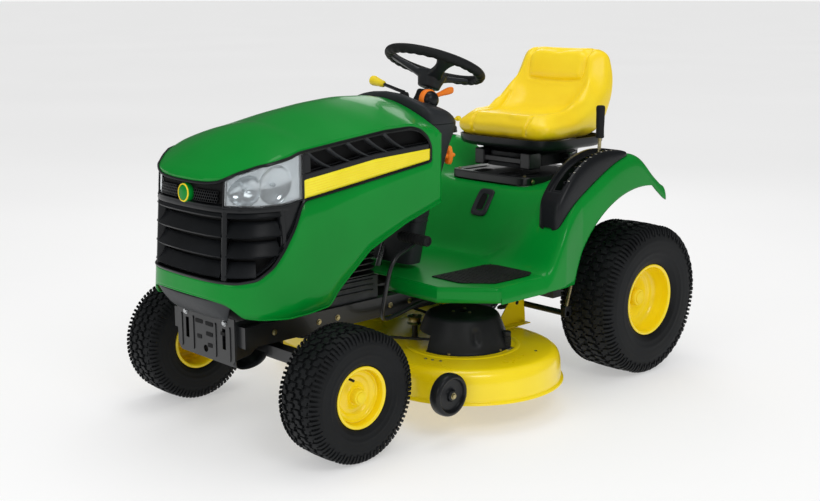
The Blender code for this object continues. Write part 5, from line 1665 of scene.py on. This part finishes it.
def makeFrontEnd():
    # guard under the grille: it follows the nose, slopes in as it falls, and is deepest in the middle
    s = np.linspace(-1, 1, 110)
    planX, planY = planAt(s * .262)
    depth = .022 + .046 * unit((.66 - np.abs(s)) / .16)
    levels = roundedLine([(1.0, 1.0), (.97, .9), (.8, .62), (.45, .26), (.16, .06), (.04, 0.0), (0.0, .06),
        (.02, .3)], 34, .4)
    back = (.016 + .034 * unit((.66 - np.abs(s)) / .16))[:, None] * levels[None, :, 1]
    points = np.stack([planX[:, None] * .985 - np.sign(planX)[:, None] * back * np.abs(s[:, None]) ** 4,
        planY[:, None] + .004 + back, .443 - depth[:, None] * levels[None, :, 0]], -1)
    guard = putPiece("guardApron", gridShape(points), "greyPlastic", "chassis", smooth=45, thick=.0035)
    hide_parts("bumper_guard")
    # pressed ribs and punched slots on the hitch plate, the slots drawn as thin near-black shapes of painted
    # shade, and its turned-back lower edge
    ribs = [moved(prism(evenLine(ring(.0032, .05, 40, 8), 32, closed=True), 0, .0026), (x0, -.8121, .305),
        turn=turnAbout("X", 90)) for x0 in (-.118, -.06, .05, .118)]
    putPiece("hitchPlateRibs", ribs, "blackSteel", "chassis", bevelWidth=.0006, smooth=35)
    slots = []
    for x0, z0, wide, tall in ((-.03, .345, .018, .006), (.02, .345, .018, .006), (.02, .315, .016, .006),
            (-.03, .3, .011, .006), (.022, .283, .011, .006), (.085, .33, .01, .005)):
        slots.append(moved(prism(ring(wide, tall, 28, 8), 0, .0008), (x0, -.8122, z0),
            turn=turnAbout("X", 90)))
    putPiece("hitchPlateSlots", slots, "paintedShade", "chassis")
    bolts = [boltHead((x0, -.8122, .362), .013, .0055, "Y") for x0 in (-.095, .095)]
    flipped = [moved((points * (1, -1, 1), [face[::-1] for face in faces]), (0, -1.6244, 0))
        for points, faces in bolts]
    putPiece("hitchPlateBolts", flipped, "brightSteel", "chassis", smooth=25)
    # skid under the plate: a sheet curled back and up behind it
    curl = roundedLine([(-.8095, .262), (-.8095, .246), (-.8, .236), (-.775, .23), (-.74, .232),
        (-.712, .244), (-.7, .262)], 40, .5)
    across = np.linspace(-.136, .1395, 12)
    skid = np.stack([across[:, None] + 0 * curl[None, :, 0], curl[None, :, 0] + 0 * across[:, None],
        curl[None, :, 1] + 0 * across[:, None]], -1)
    putPiece("hitchSkid", gridShape(skid), "blackSteel", "chassis", smooth=45, thick=.003)
    # side straps that carry the plate back to the frame, with their bolts
    strap = prism([(-.808, .262), (-.808, .372), (-.73, .372), (-.7, .35), (-.72, .3), (-.76, .27)], .136,
        .1395, "X")
    heads = [boltHead((.1395, y, z), .011, .005, "X") for y, z in ((-.775, .34), (-.735, .345))]
    putPiece("hitchStraps", bothSides([strap]), "blackSteel", "chassis", bevelWidth=.001)
    putPiece("hitchStrapBolts", bothSides(heads), "zinc", "chassis", smooth=25)
    # frame rail bolts seen between the wheels and the deck
    heads = [boltHead((.1732, y, .33), .012, .005, "X") for y in (-.7, -.54, -.47, -.26, -.18, .12, .42)]
    putPiece("frameBolts", bothSides(heads), "zinc", "chassis", smooth=25)


def makeBelt():
    # V belt: the outer tangent loop round the crank and spindle pulleys, falling from the crank to the deck
    wheelSpots = np.array([(0, -.44, .0655), (.265, -.04, .0655), (-.265, .04, .0655)])
    angle = fullTurn(720)
    normal = np.stack([np.cos(angle), np.sin(angle)], 1)
    owner = np.argmax(normal @ wheelSpots[:, :2].T + wheelSpots[None, :, 2], axis=1)
    loop = evenLine(wheelSpots[owner, :2] + normal * wheelSpots[owner, 2:], 300, closed=True)
    z = eased(loop[:, 1], [(-.6, .25), (-.38, .25), (-.11, .213), (.2, .213)], .03)
    section = [(-.0044, .0034), (-.0026, -.0036), (.0026, -.0036), (.0044, .0034)]
    belt = putPiece("cutterBelt", alongPath(atHeight(loop, z), section, closed=True), "beltRubber", None,
        smooth=35)
    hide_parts("mower_belt")
    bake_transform(belt)


def makeEngineDetails():
    # cooling fins over the cylinder block, and louvre ring on the blower cover
    fins = []
    for k in range(13):
        z = .385 + k * .0165
        fins.append(prism(evenLine(ring(.166, .136, 60, 8), 60, closed=True) + (0, -.43), z, z + .0045))
    putPiece("engineFins", fins, "castAlloy", "chassis", bevelWidth=.0008, smooth=30)
    slats = []
    for k in range(26):
        slat = block((.06, -.0035, .7895), (.118, .0035, .793))
        slats.append(moved(moved(slat, turn=turnAbout("Z", k * 360 / 26)), (0, -.445, 0)))
    screen = turned([(0, .794), (.03, .794), (.034, .7905), (.034, .789), (0, .789)], (0, -.445, 0), "Z", 40)
    putPiece("blowerScreen", together(screen, *slats), "fascia", "chassis", smooth=30)


makeLiftLever()
makeFrontEnd()
makeBelt()
makeEngineDetails()
print("front end made")

for name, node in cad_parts.items():
    slots = [m.name if m else "" for m in node.data.materials]
    label = next((key for key in slotFinishes if slots and slots[0].split(".")[0] == key), "black_steel")
    dress = finishes[slotFinishes[label][0]]
    if not node.data.materials:
        node.data.materials.append(dress)
    for k in range(len(node.data.materials)):
        node.data.materials[k] = dress

print("all pieces made")
